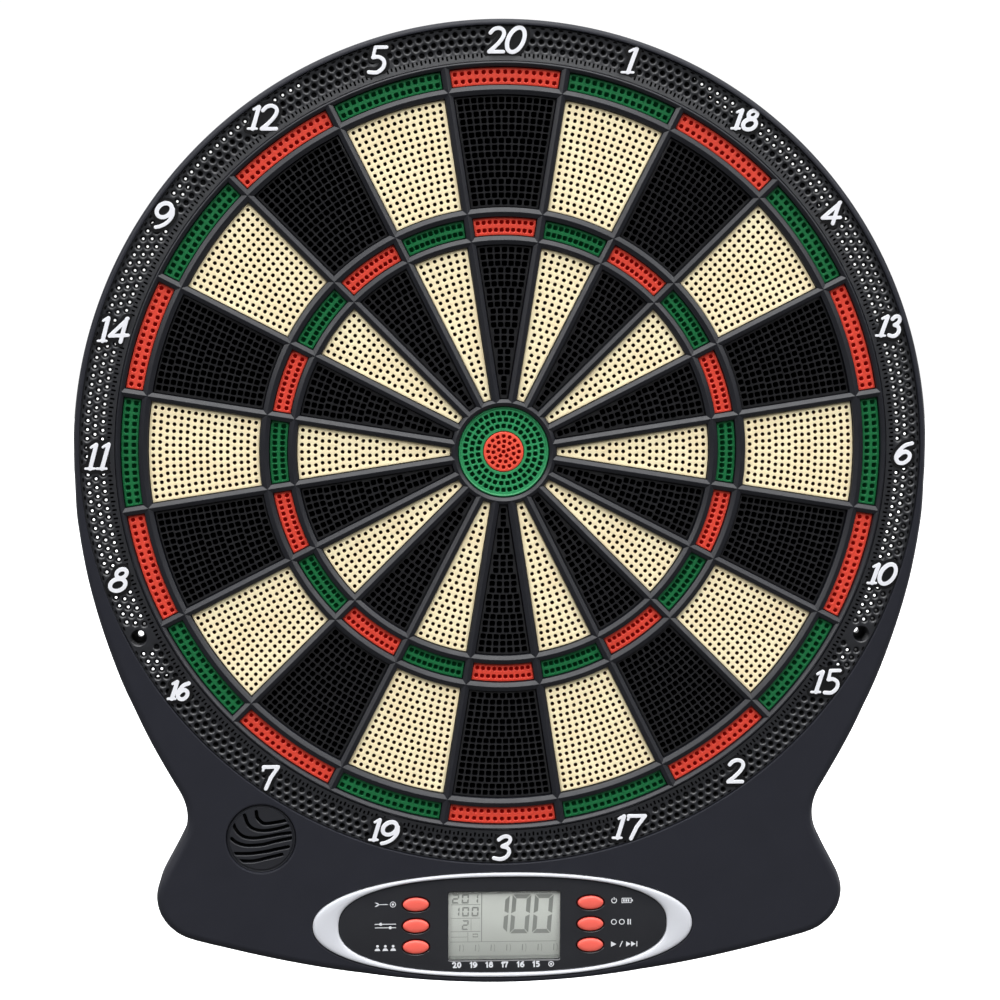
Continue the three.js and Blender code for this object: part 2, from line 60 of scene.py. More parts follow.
NUMBERS = [20, 1, 18, 4, 13, 6, 10, 15, 2, 17, 3, 19, 7, 16, 8, 11, 14, 9, 12, 5]
SECTOR_DEG = 18
BOSSES = [(187.5, -95.75), (-187.5, -95.75)]  # hollow bosses behind the number ring
SCREWS = [(-152, -177), (152, -177), (-112, -258), (112, -258)]


# ------------------------------------------------------------------ outlines
def polar(r, deg):
    angle = math.radians(deg)
    return (r * math.sin(angle), r * math.cos(angle))


RING_POSTS = [polar(210.2, 17), polar(210.2, -17)]


def polar_arc(r, start, sweep, steps):
    return [polar(r, start + sweep * i / steps) for i in range(steps + 1)]


def ring(r, count):
    """Clockwise circle about the bull."""
    return [polar(r, 360.0 * i / count) for i in range(count)]


def rings(count, *stations):
    """Levels for Shell.stack from (radius, z) stations about the bull."""
    return [(ring(r, count), z) for r, z in stations]


def circle(r, count, cx=0.0, cy=0.0):
    """Anticlockwise circle."""
    turns = [2 * math.pi * i / count for i in range(count)]
    return [(cx + r * math.cos(t), cy + r * math.sin(t)) for t in turns]


def circles(count, cx, cy, *stations):
    """Levels for Shell.stack from (radius, z) stations about a centre."""
    return [(circle(r, count, cx, cy), z) for r, z in stations]


def arc(cx, cy, r, start, end, steps):
    """Arc with its angles measured anticlockwise from x, in degrees."""
    angles = [math.radians(start + (end - start) * i / steps) for i in range(steps + 1)]
    return [(cx + r * math.cos(a), cy + r * math.sin(a)) for a in angles]


def superellipse_point(half_w, half_h, exponent, t):
    c, s = math.cos(t), math.sin(t)
    power = 2 / exponent
    return (
        half_w * math.copysign(abs(c) ** power, c),
        half_h * math.copysign(abs(s) ** power, s),
    )


def oval(half_w, half_h, exponent, count, cx, cy):
    points = [
        superellipse_point(half_w, half_h, exponent, 2 * math.pi * i / count) for i in range(count)
    ]
    return [(cx + x, cy + y) for x, y in points]


def box(x0, y0, x1, y1):
    return [(x0, y0), (x1, y0), (x1, y1), (x0, y1)]


def rrect(x0, y0, x1, y1, r):
    """Rectangle with rounded corners."""
    return (
        arc(x1 - r, y1 - r, r, 0, 90, 5)
        + arc(x0 + r, y1 - r, r, 90, 180, 5)
        + arc(x0 + r, y0 + r, r, 180, 270, 5)
        + arc(x1 - r, y0 + r, r, 270, 360, 5)
    )


def inset(corners, d):
    x0, y0, x1, y1 = corners
    return (x0 + d, y0 + d, x1 - d, y1 - d)


def turned(points, deg, cx=0.0, cy=0.0):
    """Points turned clockwise about the origin, then moved to a centre."""
    c, s = math.cos(math.radians(deg)), math.sin(math.radians(deg))
    return [(cx + x * c + y * s, cy - x * s + y * c) for x, y in points]


def offset(points, distance):
    """Closed outline moved to its left (inwards if it runs anticlockwise).

    The distance is one number, or an array with one for each point.
    """
    p = np.array(points, float)
    tangent = np.roll(p, -1, 0) - np.roll(p, 1, 0)
    tangent /= np.maximum(np.linalg.norm(tangent, axis=1, keepdims=True), 1e-9)
    normal = tangent[:, ::-1] * (-1, 1)
    return [tuple(q) for q in p + normal * np.reshape(distance, (-1, 1))]


def smooth_line(points, steps=10):
    """Catmull-Rom curve through the points."""
    p = [np.array(q, float) for q in points]
    ends = [2 * p[0] - p[1]] + p + [2 * p[-1] - p[-2]]
    out = []
    for a, b, c, d in zip(ends, ends[1:], ends[2:], ends[3:]):
        for j in range(steps):
            t = j / steps
            bend = (2 * a - 5 * b + 4 * c - d) * t * t
            twist = (3 * b - a - 3 * c + d) * t ** 3
            out.append(tuple(0.5 * ((2 * b) + (c - a) * t + bend + twist)))
    out.append(tuple(p[-1]))
    return out


def smoothstep(t):
    return t * t * (3 - 2 * t)


def signed_area(points):
    """Positive for an anticlockwise outline."""
    x, y = np.array(points).T
    return 0.5 * float(np.sum(x * np.roll(y, -1) - y * np.roll(x, -1)))


def anticlockwise(points):
    return points[::-1] if signed_area(points) < 0 else points


def respaced(points, step):
    """Closed outline with its points spaced evenly, about a step apart."""
    p = np.array(points)
    lengths = np.linalg.norm(np.roll(p, -1, 0) - p, axis=1)
    count = max(8, int(round(lengths.sum() / step)))
    along = np.concatenate([[0], np.cumsum(lengths)])
    closed = np.vstack([p, p[:1]])
    t = np.linspace(0, along[-1], count, endpoint=False)
    return list(zip(np.interp(t, along, closed[:, 0]), np.interp(t, along, closed[:, 1])))


# ------------------------------------------------------------------ pen strokes to outlines
# Sides of a grid square joined by the contour: bottom, right, top, left. The place in the
# list is the sum of 1, 2, 4 and 8 for the corners inside, anticlockwise from bottom left.
SQUARE_CASES = [
    "", "lb", "br", "lr", "rt", "lt rb", "bt", "lt", "tl", "tb", "tr bl", "tr", "rl", "rb", "bl",
]


def stroke_field(strokes, X, Y):
    """Distance from each grid point to the strokes' edge, negative within them."""
    field = np.full(X.shape, 1e9)
    for points, radius in strokes:
        for (ax, ay), (bx, by) in zip(points, points[1:]):
            dx, dy = bx - ax, by - ay
            squared = max(dx * dx + dy * dy, 1e-12)
            t = np.clip(((X - ax) * dx + (Y - ay) * dy) / squared, 0, 1)
            field = np.minimum(field, np.hypot(X - ax - t * dx, Y - ay - t * dy) - radius)
    return field


def contours(field, xs, ys, level=0.0):
    """Closed contours of a grid field, by marching squares."""
    height = field - level
    points, links = {}, {}

    def crossing(i0, j0, i1, j1):
        key = (i0, j0, i1, j1)
        if key not in points:
            start, end = height[j0, i0], height[j1, i1]
            t = start / (start - end)
            points[key] = (xs[i0] + t * (xs[i1] - xs[i0]), ys[j0] + t * (ys[j1] - ys[j0]))
        return key

    inside = height < 0
    corner = inside[:-1, :-1]
    mixed = (corner != inside[1:, :-1]) | (corner != inside[:-1, 1:]) | (corner != inside[1:, 1:])
    for j, i in zip(*np.nonzero(mixed)):
        sides = {
            "b": (i, j, i + 1, j),
            "r": (i + 1, j, i + 1, j + 1),
            "t": (i, j + 1, i + 1, j + 1),
            "l": (i, j, i, j + 1),
        }
        corners = (inside[j, i], inside[j, i + 1], inside[j + 1, i + 1], inside[j + 1, i])
        case = sum(int(c) << bit for bit, c in enumerate(corners))
        for first, second in SQUARE_CASES[case].split():
            a, b = crossing(*sides[first]), crossing(*sides[second])
            links.setdefault(a, []).append(b)
            links.setdefault(b, []).append(a)

    loops, seen = [], set()
    for start in links:
        if start in seen:
            continue
        chain, ahead = [], [start]
        while ahead:
            chain.append(ahead[0])
            seen.add(ahead[0])
            ahead = [key for key in links[ahead[0]] if key not in seen]
        if len(chain) > 6:
            loops.append([points[key] for key in chain])
    return loops


# ------------------------------------------------------------------ mesh building
def edge_key(a, b):
    return (a, b) if a < b else (b, a)


class Shell:
    """Mesh being built: vertices, faces and the material slot of each face."""

    def __init__(self):
        self.verts, self.faces, self.slots = [], [], []

    def loop(self, outline, z):
        """Adds an outline; z is a number, a list, or a function of x and y."""
        start = len(self.verts)
        if callable(z):
            z = [z(x, y) for x, y in outline]
        elif not isinstance(z, list):
            z = [z] * len(outline)
        self.verts += [(x, y, height) for (x, y), height in zip(outline, z)]
        return list(range(start, len(self.verts)))

    def ngon(self, loop, slot=0):
        self.faces.append(tuple(loop))
        self.slots.append(slot)

    def bridge(self, a, b, slot=0):
        for i in range(len(a)):
            j = (i + 1) % len(a)
            self.ngon((a[i], a[j], b[j], b[i]), slot)

    def stack(self, levels, slots=0):
        """Joins (outline, z) levels and returns the first and last loops.

        slots is one material slot, or one for each band.
        """
        loops = [self.loop(outline, z) for outline, z in levels]
        if isinstance(slots, int):
            slots = [slots] * (len(loops) - 1)
        for a, b, slot in zip(loops, loops[1:], slots):
            self.bridge(a, b, slot)
        return loops[0], loops[-1]

    def pit(self, levels, slots=0, end_slot=0):
        """Stack closed at its last level by one polygon; returns the open loop."""
        mouth, end = self.stack(levels, slots)
        self.ngon(end, end_slot)
        return mouth

    def capped(self, levels):
        """Stack closed at its last level by a cap; returns the open loop."""
        foot, end = self.stack(levels)
        self.cap([end])
        return foot

    def solid(self, levels, slot=0):
        """Stack capped at both ends."""
        for end in self.stack(levels, slot):
            self.cap([end], slot)

    def tube(self, levels):
        """Stack whose last level is joined back to its first."""
        first, last = self.stack(levels)
        self.bridge(last, first)

    def cap(self, loops, slot=0):
        """Fills between loops, even-odd: it starts outside and flips at each loop it crosses."""
        index, edges = [], []
        for loop in loops:
            start, n = len(index), len(loop)
            index += loop
            edges += [(start + i, start + (i + 1) % n) for i in range(n)]
        points = [Vector(self.verts[i][:2]) for i in index]
        flat, _, faces, origins, _, _ = delaunay_2d_cdt(points, edges, [], 0, 1e-7)
        mesh_vert, flat_vert = [], {}
        for k, origin in enumerate(origins):
            if origin:
                mesh_vert.append(index[origin[0]])
            else:
                self.verts.append((flat[k].x, flat[k].y, self.verts[index[0]][2]))
                mesh_vert.append(len(self.verts) - 1)
            for i in origin:
                flat_vert[i] = k
        walls = {edge_key(flat_vert[i], flat_vert[j]) for i, j in edges}
        borders = [[edge_key(a, b) for a, b in zip(f, f[1:] + f[:1])] for f in faces]
        near = {}
        for t, border in enumerate(borders):
            for edge in border:
                near.setdefault(edge, []).append(t)

        # flood from a face on the hull, flipping at each wall
        filled = [None] * len(faces)
        edge, first = next((e, ts[0]) for e, ts in near.items() if len(ts) == 1)
        filled[first] = edge in walls
        todo = [first]
        while todo:
            t = todo.pop()
            for edge in borders[t]:
                for other in near[edge]:
                    if filled[other] is None:
                        filled[other] = filled[t] ^ (edge in walls)
                        todo.append(other)
        for t, face in enumerate(faces):
            if filled[t]:
                self.ngon([mesh_vert[i] for i in face], slot)


def shade(mesh, sharp):
    """Smooth shading, with edges steeper than sharp degrees kept sharp."""
    mesh.shade_smooth()
    mesh.set_sharp_from_angle(angle=math.radians(sharp))


def make(name, shell, *material_keys, sharp=30):
    """Object in scene metres, with one material slot for each key."""
    x, y, z = np.array(shell.verts, float).T
    mesh = bpy.data.meshes.new(name)
    mesh.from_pydata((np.stack([x, -z, y], 1) / 1000.0).tolist(), [], shell.faces)
    for key in material_keys:
        mesh.materials.append(MATERIALS[key])
    mesh.polygons.foreach_set("material_index", np.array(shell.slots, np.int32))
    mesh.update()
    bm = bmesh.new()
    bm.from_mesh(mesh)
    bmesh.ops.remove_doubles(bm, verts=bm.verts, dist=1e-7)
    bmesh.ops.recalc_face_normals(bm, faces=bm.faces)
    bm.to_mesh(mesh)
    bm.free()
    shade(mesh, sharp)
    ob = bpy.data.objects.new(name, mesh)
    bpy.context.scene.collection.objects.link(ob)
    return ob


def crisp_caps(ob):
    """Keeps flat shading on front and back faces up to their rounded edges."""
    shade(ob.data, 30)
    bm = bmesh.new()
    bm.from_mesh(ob.data)
    bm.normal_update()
    for edge in bm.edges:
        if len(edge.link_faces) == 2:
            a, b = (abs(face.normal.y) > 0.99995 for face in edge.link_faces)
            if a != b:
                edge.smooth = False
    bm.to_mesh(ob.data)
    bm.free()
    return ob


def cut(ob, levels):
    """Takes the solid with these levels out of an object."""
    shell = Shell()
    shell.solid(levels)
    cutter = make("cutter", shell, "housing", sharp=32)
    modifier = ob.modifiers.new("cut", "BOOLEAN")
    modifier.operation = "DIFFERENCE"
    modifier.solver = "EXACT"
    modifier.object = cutter
    bpy.context.view_layer.update()
    depsgraph = bpy.context.evaluated_depsgraph_get()
    mesh = bpy.data.meshes.new_from_object(ob.evaluated_get(depsgraph))
    ob.modifiers.clear()
    old = ob.data
    ob.data = mesh
    bpy.data.meshes.remove(old)
    bpy.data.objects.remove(cutter)


def attach(ob, slot, *cad_nodes, body="housing"):
    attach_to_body(ob, body)
    if cad_nodes:
        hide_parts(*cad_nodes)


# ------------------------------------------------------------------ materials
def linear(rgb):
    """Linear colour from sRGB out of 255."""
    return tuple(
        (c / 255) / 12.92 if c / 255 <= 0.04045 else ((c / 255 + 0.055) / 1.055) ** 2.4 for c in rgb
    )


def add_node(tree, kind, inputs=None):
    node = tree.nodes.new("ShaderNode" + kind)
    for key, value in (inputs or {}).items():
        node.inputs[key].default_value = value
    return node


def join(tree, source, output, target, socket):
    tree.links.new(source.outputs[output], target.inputs[socket])


def plastic(name, rgb, rough=0.5, metal=0.0, spec=0.5, mottle=0.10, mottle_scale=60.0,
            grain=0.25, grain_scale=2600.0, coat=0.0, glow=0.0, rough_spread=0.08, tint=None):
    """Principled material with mottled colour, uneven roughness and a fine bump grain.

    rgb is sRGB out of 255; mottle is the share by which it darkens and lightens; tint, if
    given, is the colour lightened in its place; glow is the strength of its own light, which
    on the hole materials is painted light standing in for light bounced inside the holes.
    """
    material = bpy.data.materials.new(name)
    material.use_nodes = True
    tree = material.node_tree
    bsdf = tree.nodes["Principled BSDF"]
    coords = add_node(tree, "TexCoord")

    patches = add_node(
        tree, "TexNoise", {"Scale": mottle_scale, "Detail": 4.0, "Roughness": 0.6})
    join(tree, coords, "Object", patches, "Vector")
    ramp = add_node(tree, "ValToRGB")
    dark, light = ramp.color_ramp.elements
    dark.position, light.position = 0.3, 0.7
    dark.color = (*(c * (1 - mottle) for c in linear(rgb)), 1)
    light.color = (*(min(1.0, c * (1 + mottle)) for c in linear(tint or rgb)), 1)
    join(tree, patches, "Fac", ramp, "Fac")
    join(tree, ramp, "Color", bsdf, "Base Color")

    smears = add_node(tree, "TexNoise", {"Scale": 220.0, "Detail": 3.0})
    join(tree, coords, "Object", smears, "Vector")
    spread = add_node(tree, "MapRange", {
        "To Min": rough - rough_spread, "To Max": min(1.0, rough + rough_spread)})
    join(tree, smears, "Fac", spread, "Value")
    join(tree, spread, "Result", bsdf, "Roughness")

    specks = add_node(tree, "TexNoise", {"Scale": grain_scale, "Detail": 2.0})
    join(tree, coords, "Object", specks, "Vector")
    bump = add_node(tree, "Bump", {"Strength": grain, "Distance": 0.0001})
    join(tree, specks, "Fac", bump, "Height")
    join(tree, bump, "Normal", bsdf, "Normal")

    bsdf.inputs["Metallic"].default_value = metal
    bsdf.inputs["Specular IOR Level"].default_value = spec
    if coat:
        bsdf.inputs["Coat Weight"].default_value = coat
        bsdf.inputs["Coat Roughness"].default_value = 0.12
    if glow:
        join(tree, ramp, "Color", bsdf, "Emission Color")
        bsdf.inputs["Emission Strength"].default_value = glow
    return material


def clear_window():
    """Almost clear, with a Fresnel gloss on faces seen from the front only."""
    material = bpy.data.materials.new("window_clear")
    material.use_nodes = True
    tree = material.node_tree
    tree.nodes.clear()
    output = add_node(tree, "OutputMaterial")
    mix = add_node(tree, "MixShader")
    transparent = add_node(tree, "BsdfTransparent")
    glossy = add_node(tree, "BsdfGlossy", {"Roughness": 0.08})
    fresnel = add_node(tree, "Fresnel", {"IOR": 1.45})
    coords = add_node(tree, "TexCoord")
    noise = add_node(tree, "TexNoise", {"Scale": 90})
    ramp = add_node(tree, "ValToRGB")
    ramp.color_ramp.elements[0].color = (0.95, 0.955, 0.95, 1)
    ramp.color_ramp.elements[1].color = (0.97, 0.98, 0.97, 1)
    join(tree, coords, "Object", noise, "Vector")
    join(tree, noise, "Fac", ramp, "Fac")
    join(tree, ramp, "Color", transparent, "Color")
    geometry = add_node(tree, "NewGeometry")
    facing = add_node(tree, "Math", {0: 1.0})
    facing.operation = "SUBTRACT"
    join(tree, geometry, "Backfacing", facing, 1)
    gloss = add_node(tree, "Math")
    gloss.operation = "MULTIPLY"
    join(tree, fresnel, "Fac", gloss, 0)
    join(tree, facing, "Value", gloss, 1)
    join(tree, gloss, "Value", mix, "Fac")
    join(tree, transparent, "BSDF", mix, 1)
    join(tree, glossy, "BSDF", mix, 2)
    join(tree, mix, "Shader", output, "Surface")
    return material


MATERIALS = {
    "housing": plastic(
        "housing_plastic", (38, 39, 46), rough=0.42, spec=0.27, mottle=0.05, grain=0.16),
    "rear": plastic(
        "rear_plastic", (40, 41, 47), rough=0.6, spec=0.4, mottle=0.06, grain=0.35,
        grain_scale=1700),
    "spider": plastic(
        "spider_plastic", (29, 30, 36), rough=0.38, spec=0.44, mottle=0.06, grain=0.16),
    "ring": plastic("ring_plastic", (33, 34, 38), rough=0.34, spec=0.75, mottle=0.08, grain=0.2),
    # painted shade: near black on the bores of the ring's funnels, its slots and its dimples
    "ring_hole_painted_shade": plastic("ring_hole_painted_shade", (9, 9, 10), rough=0.7, spec=0.15),
    "cream": plastic(
        "cream_segment", (252, 233, 190), rough=0.55, spec=0.3, mottle=0.025,
        tint=(255, 240, 199), grain=0.1),
    # painted shade: dark brown on the walls and floors of the cream segments' holes, for the shade
    # deep in them
    "cream_hole": plastic("cream_hole", (96, 58, 30), rough=0.8, spec=0.1, mottle=0.15),
    "black": plastic("black_segment", (20, 20, 23), rough=0.32, spec=0.9),
    # painted shade: near black on the walls and floors of the black segments' holes, for the shade
    # deep in them
    "black_hole": plastic("black_hole", (4, 4, 5), rough=0.8, spec=0.05),
    "outer_bull": plastic("outer_bull", (44, 142, 88), rough=0.42, mottle=0.06, grain=0.2),
    "inner_bull": plastic(
        "inner_bull", (240, 84, 62), rough=0.48, spec=0.4, mottle=0.05, grain=0.15),
    "red": plastic("red_segment", (224, 68, 50), spec=0.35, mottle=0.05, grain=0.15),
    # painted shade and painted light: darker red in the holes for their shade, with a glow for light
    # bounced inside them
    "red_hole": plastic("red_hole", (140, 12, 8), rough=0.8, spec=0.1, glow=0.3),
    "green": plastic("green_segment", (14, 104, 56), rough=0.42, mottle=0.07, grain=0.2),
    # painted shade and painted light: darker green in the holes for their shade, with a glow for
    # light bounced inside them
    "green_hole": plastic("green_hole", (8, 62, 34), rough=0.8, spec=0.1, glow=0.22),
    "white": plastic("numeral_print", (236, 237, 242), spec=0.3, mottle=0.03, grain=0.1),
    "numeral_pad": plastic("numeral_pad", (12, 12, 14), spec=0.3),
    "panel": plastic(
        "panel_gloss", (38, 39, 43), rough=0.22, spec=0.4, mottle=0.06, grain=0.04,
        rough_spread=0.04, coat=0.3),
    "trim": plastic(
        "trim_silver", (213, 215, 221), rough=0.46, spec=0.4, mottle=0.02, grain=0.05),
    "button": plastic(
        "button_coral", (247, 104, 90), rough=0.42, spec=0.45, mottle=0.03, grain=0.1),
    # dark red of the button stems: partly the skirt's own colour, partly painted shade in the gap
    # round each cap
    "button_skirt_and_gap_shade": plastic("button_skirt_and_gap_shade", (140, 22, 22), spec=0.3, mottle=0.08),
    "lcd": plastic("lcd_face", (211, 212, 208), spec=0.3, mottle=0.015, grain=0.02),
    "lcd_ink": plastic("lcd_ink", (152, 153, 150), spec=0.2, mottle=0.03, grain=0.02),
    "lcd_faint": plastic("lcd_faint", (158, 159, 156), spec=0.2, mottle=0.03, grain=0.02),
    "lcd_frame": plastic("lcd_frame", (120, 124, 122), spec=0.4, mottle=0.05),
    "speaker": plastic("speaker_cone", (12, 12, 14), rough=0.8, spec=0.2),
    "grille": plastic("grille_plastic", (32, 33, 38), rough=0.42, mottle=0.06),
    "silicone": plastic("silicone_grey", (139, 144, 150), rough=0.75, spec=0.3, mottle=0.04),
    "board": plastic("board_green", (22, 84, 48), rough=0.4, mottle=0.12, mottle_scale=300),
    "foam": plastic(
        "foam_grey", (58, 59, 63), rough=0.95, spec=0.1, mottle=0.2, mottle_scale=900,
        grain=0.9, grain_scale=900),
    "film": plastic("film_clear", (205, 210, 196), rough=0.3, mottle=0.04),
    "copper": plastic(
        "contact_nickel", (186, 192, 196), rough=0.3, metal=0.9, mottle=0.08, grain=0.1),
    "steel": plastic("screw_steel", (180, 182, 186), rough=0.32, metal=0.95, grain=0.2),
    "cell": plastic("cell_sleeve", (42, 95, 168), rough=0.35, mottle=0.05),
    "wire_red": plastic("wire_red", (190, 44, 38), mottle=0.05),
    "wire_black": plastic("wire_black", (30, 30, 32), mottle=0.05),
    "print": plastic("panel_print", (226, 228, 232), spec=0.2, mottle=0.03, grain=0.05),
    "glass": clear_window(),
}

# ------------------------------------------------------------------ segments
# The four cells of a sector, from the bull outwards: inner and outer radius of the segment
CELLS = {
    "inner": (27.5, 105.8), "treble": (110.9, 119.9),
    "outer": (125.2, 181.3), "double": (186.6, 195.3),
}
SINGLES = ("inner", "outer")
ARC_STEPS = {"inner": (4, 20), "treble": (14, 14), "outer": (16, 22), "double": (22, 22)}
SIDE = 2.45  # from a sector's border line to the side of its segments
FLANGE = 1.1  # how far a segment's foot stands out
FLANGE_MAX_R = 195.55  # the spider's wall stands just outside the doubles

BULL_IN, BULL_BORE, BULL_OUT = 10.3, 10.6, 23.3  # disc, bore of the outer bull, its outside
OUTER_BULL_STEPS, INNER_BULL_STEPS = 96, 60

# Point holes: mouth half-width, mouth depth, throat half-width, squareness of the throat
HOLE_FORMS = {
    "cream": (1.16, 0.10, 0.98, 2.3),
    "red": (1.30, 0.22, 1.08, 2.5),
    "black": (1.53, 0.45, 1.36, 4.0),
    "green": (1.42, 0.35, 1.18, 3.4),
    "outer_bull": (1.36, 0.35, 1.16, 3.4),
    "inner_bull": (1.14, 0.2, 0.98, 2.6),
}
HOLE_WAIST_Z, HOLE_FLOOR_Z = 19.8, 12.2


def half_angle(r, side):
    return 9 - math.degrees(math.asin(min(0.999, side / r)))


def cell(kind, r0, r1, side):
    """Outline of one cell of the top sector, running clockwise along its outer arc."""
    steps0, steps1 = ARC_STEPS[kind]
    half0, half1 = half_angle(r0, side), half_angle(r1, side)
    return polar_arc(r0, half0, -2 * half0, steps0) + polar_arc(r1, -half1, 2 * half1, steps1)


def squarish(x, y, turn, half, exponent):
    angles = [math.radians(15 + 30 * i) for i in range(12)]
    points = [superellipse_point(half, half, exponent, t) for t in angles]
    return turned(points, turn, x, y)


def point_hole(shell, x, y, turn, form, top_z):
    """Blind hole for a soft tip: squarish mouth, short funnel, tapering bore."""
    half, depth, throat, squareness = form
    levels = [
        (squarish(x, y, turn, half, 4.5), top_z),
        (squarish(x, y, turn, throat, squareness), top_z - depth),
        (squarish(x, y, turn, throat - 0.1, max(2.0, squareness - 0.6)), HOLE_WAIST_Z),
        (squarish(x, y, turn, throat * 0.72, 2.0), HOLE_FLOOR_Z),
    ]
    # the funnel below the mouth, the bore and its floor take slot 1, the darker hole material:
    # painted shade, with a painted glow in the red and green holes
    return shell.pit(levels, (0, 1, 1), end_slot=1)


def hole_rows(kind):
    """Radius of each row of point holes."""
    r0, r1 = CELLS[kind]
    if kind == "outer":
        return [r1 - 2.3 - 3.43 * i for i in range(16)]
    if kind == "inner":
        return [r1 - 2.35 - 3.47 * i for i in range(22)]
    if kind == "treble":
        return [r0 + 2.5, r1 - 2.5]
    return [188.9, 192.9]


def row_layout(kind, r):
    """Number of holes in a row and the width from the first to the last."""
    width = 2 * (r * math.sin(math.radians(half_angle(r, SIDE))))
    if kind == "outer":
        return int(round((width - 5.2) / 3.52)) + 1, width - 5.2
    if kind == "inner":
        count = max(1, int(math.floor((width - 4.5) / 3.45)) + 1)
        span = width - 4.9 if count > 1 else 0
        return count, max(min(span, (count - 1) * 3.75), (count - 1) * 3.3)
    return (10 if kind == "treble" else 15), width - 4.4


def holes_in(kind):
    """(x, y, turn) of each point hole of one cell of the top sector."""
    out = []
    for r in hole_rows(kind):
        count, span = row_layout(kind, r)
        for i in range(count):
            x = 0 if count == 1 else -span / 2 + span * i / (count - 1)
            deg = math.degrees(math.asin(x / r))
            out.append((*polar(r, deg), deg))
    return out


def segment_shell(kind, colour):
    shell = Shell()
    r0, r1 = CELLS[kind]
    levels = [
        (cell(kind, r0 + d, r1 - d, SIDE + d), z)
        for d, z in ((0.34, SEGMENT_Z), (0.10, 20.9), (0.0, 20.62), (0.0, 9.6))
    ]
    flange = cell(kind, r0 - FLANGE, min(r1 + FLANGE, FLANGE_MAX_R), SIDE - FLANGE)
    top, bottom = shell.stack(levels + [(flange, 9.4), (flange, FOOT_Z)])
    form = HOLE_FORMS[colour]
    mouths = [point_hole(shell, x, y, turn, form, SEGMENT_Z) for x, y, turn in holes_in(kind)]
    shell.cap([top] + mouths)
    shell.cap([bottom])
    return shell


def build_segments():
    """One template for each kind and colour, copied and turned round the board."""
    templates = {}
    for kind in CELLS:
        for colour in ("black", "cream") if kind in SINGLES else ("red", "green"):
            # the second material, colour + "_hole", is painted shade in the holes, with a painted
            # glow in the red and green ones
            templates[kind, colour] = make(
                "tpl_%s_%s" % (kind, colour), segment_shell(kind, colour),
                colour, colour + "_hole", sharp=28)
    for k, number in enumerate(NUMBERS):
        for kind in CELLS:
            colour = (("black", "cream") if kind in SINGLES else ("red", "green"))[k % 2]
            mesh = templates[kind, colour].data.copy()
            mesh.transform(Matrix.Rotation(math.radians(SECTOR_DEG * k), 4, "Y"))
            label = kind + "_single" if kind in SINGLES else kind
            ob = bpy.data.objects.new("segment_%02d_%s" % (number, label), mesh)
            bpy.context.scene.collection.objects.link(ob)
            nodes = ("sector_%02d" % number,) if kind == "outer" else ()
            attach(ob, "segment_" + colour, *nodes, body="sector_%02d_segments" % number)
    for template in templates.values():
        mesh = template.data
        bpy.data.objects.remove(template)
        bpy.data.meshes.remove(mesh)


def bull_holes(shell, rows, form, top_z):
    """rows: (radius, count) from the outside in; every second row is turned 4 degrees."""
    mouths = []
    for j, (r, count) in enumerate(rows):
        for i in range(count):
            deg = 360.0 * i / count + (4 if j % 2 else 0)
            mouths.append(point_hole(shell, *polar(r, deg), deg, form, top_z))
    return mouths


def outer_bull_shell():
    shell = Shell()
    top, bottom = shell.stack(rings(
        OUTER_BULL_STEPS,
        (BULL_OUT - 1.25, SEGMENT_Z), (BULL_OUT - 1.0, 21.42), (BULL_OUT - 0.62, 21.62),
        (BULL_OUT - 0.24, 21.5), (BULL_OUT, 21.1), (BULL_OUT, 9.6), (25.5, 9.4), (25.5, FOOT_Z)))
    bore_top, bore_bottom = shell.stack(rings(
        OUTER_BULL_STEPS,
        (BULL_BORE + 0.28, SEGMENT_Z), (BULL_BORE, 20.75), (BULL_BORE, 11.0), (12.6, 11.0),
        (12.6, FOOT_Z)))
    shell.cap([bottom, bore_bottom])
    rows = [(19.85, 40), (16.45, 32), (13.2, 26)]
    mouths = bull_holes(shell, rows, HOLE_FORMS["outer_bull"], SEGMENT_Z)
    shell.cap([top, bore_top] + mouths)
    return shell


def inner_bull_shell():
    shell = Shell()
    top_z = SEGMENT_Z + 0.25
    top, bottom = shell.stack(rings(
        INNER_BULL_STEPS,
        (BULL_IN - 0.5, top_z), (BULL_IN - 0.15, 21.1), (BULL_IN, 20.8), (BULL_IN, 9.6),
        (12.2, 9.4), (12.2, FOOT_Z)))
    shell.cap([bottom])
    rows = [(8.0, 16), (5.3, 11), (2.65, 5), (0.0, 1)]
    shell.cap([top] + bull_holes(shell, rows, HOLE_FORMS["inner_bull"], top_z))
    return shell


build_segments()
# green_hole and red_hole give the bull's holes painted shade and a painted glow
attach(make("bull_outer_ring", outer_bull_shell(), "outer_bull", "green_hole", sharp=28),
       "segment_green", "bull_outer", body="bull_outer_segment")
attach(make("bull_inner_disc", inner_bull_shell(), "inner_bull", "red_hole", sharp=28),
       "segment_red", "bull_inner", body="bull_inner_segment")

# ------------------------------------------------------------------ spider
CRESTS = [25.4, 108.3, 122.5, 183.95, 197.3]  # radii of the ridge lines between the cells
POCKET = 2.15  # from a sector's border line to the side of its pockets
FIT = 0.3  # gap round a segment's arcs


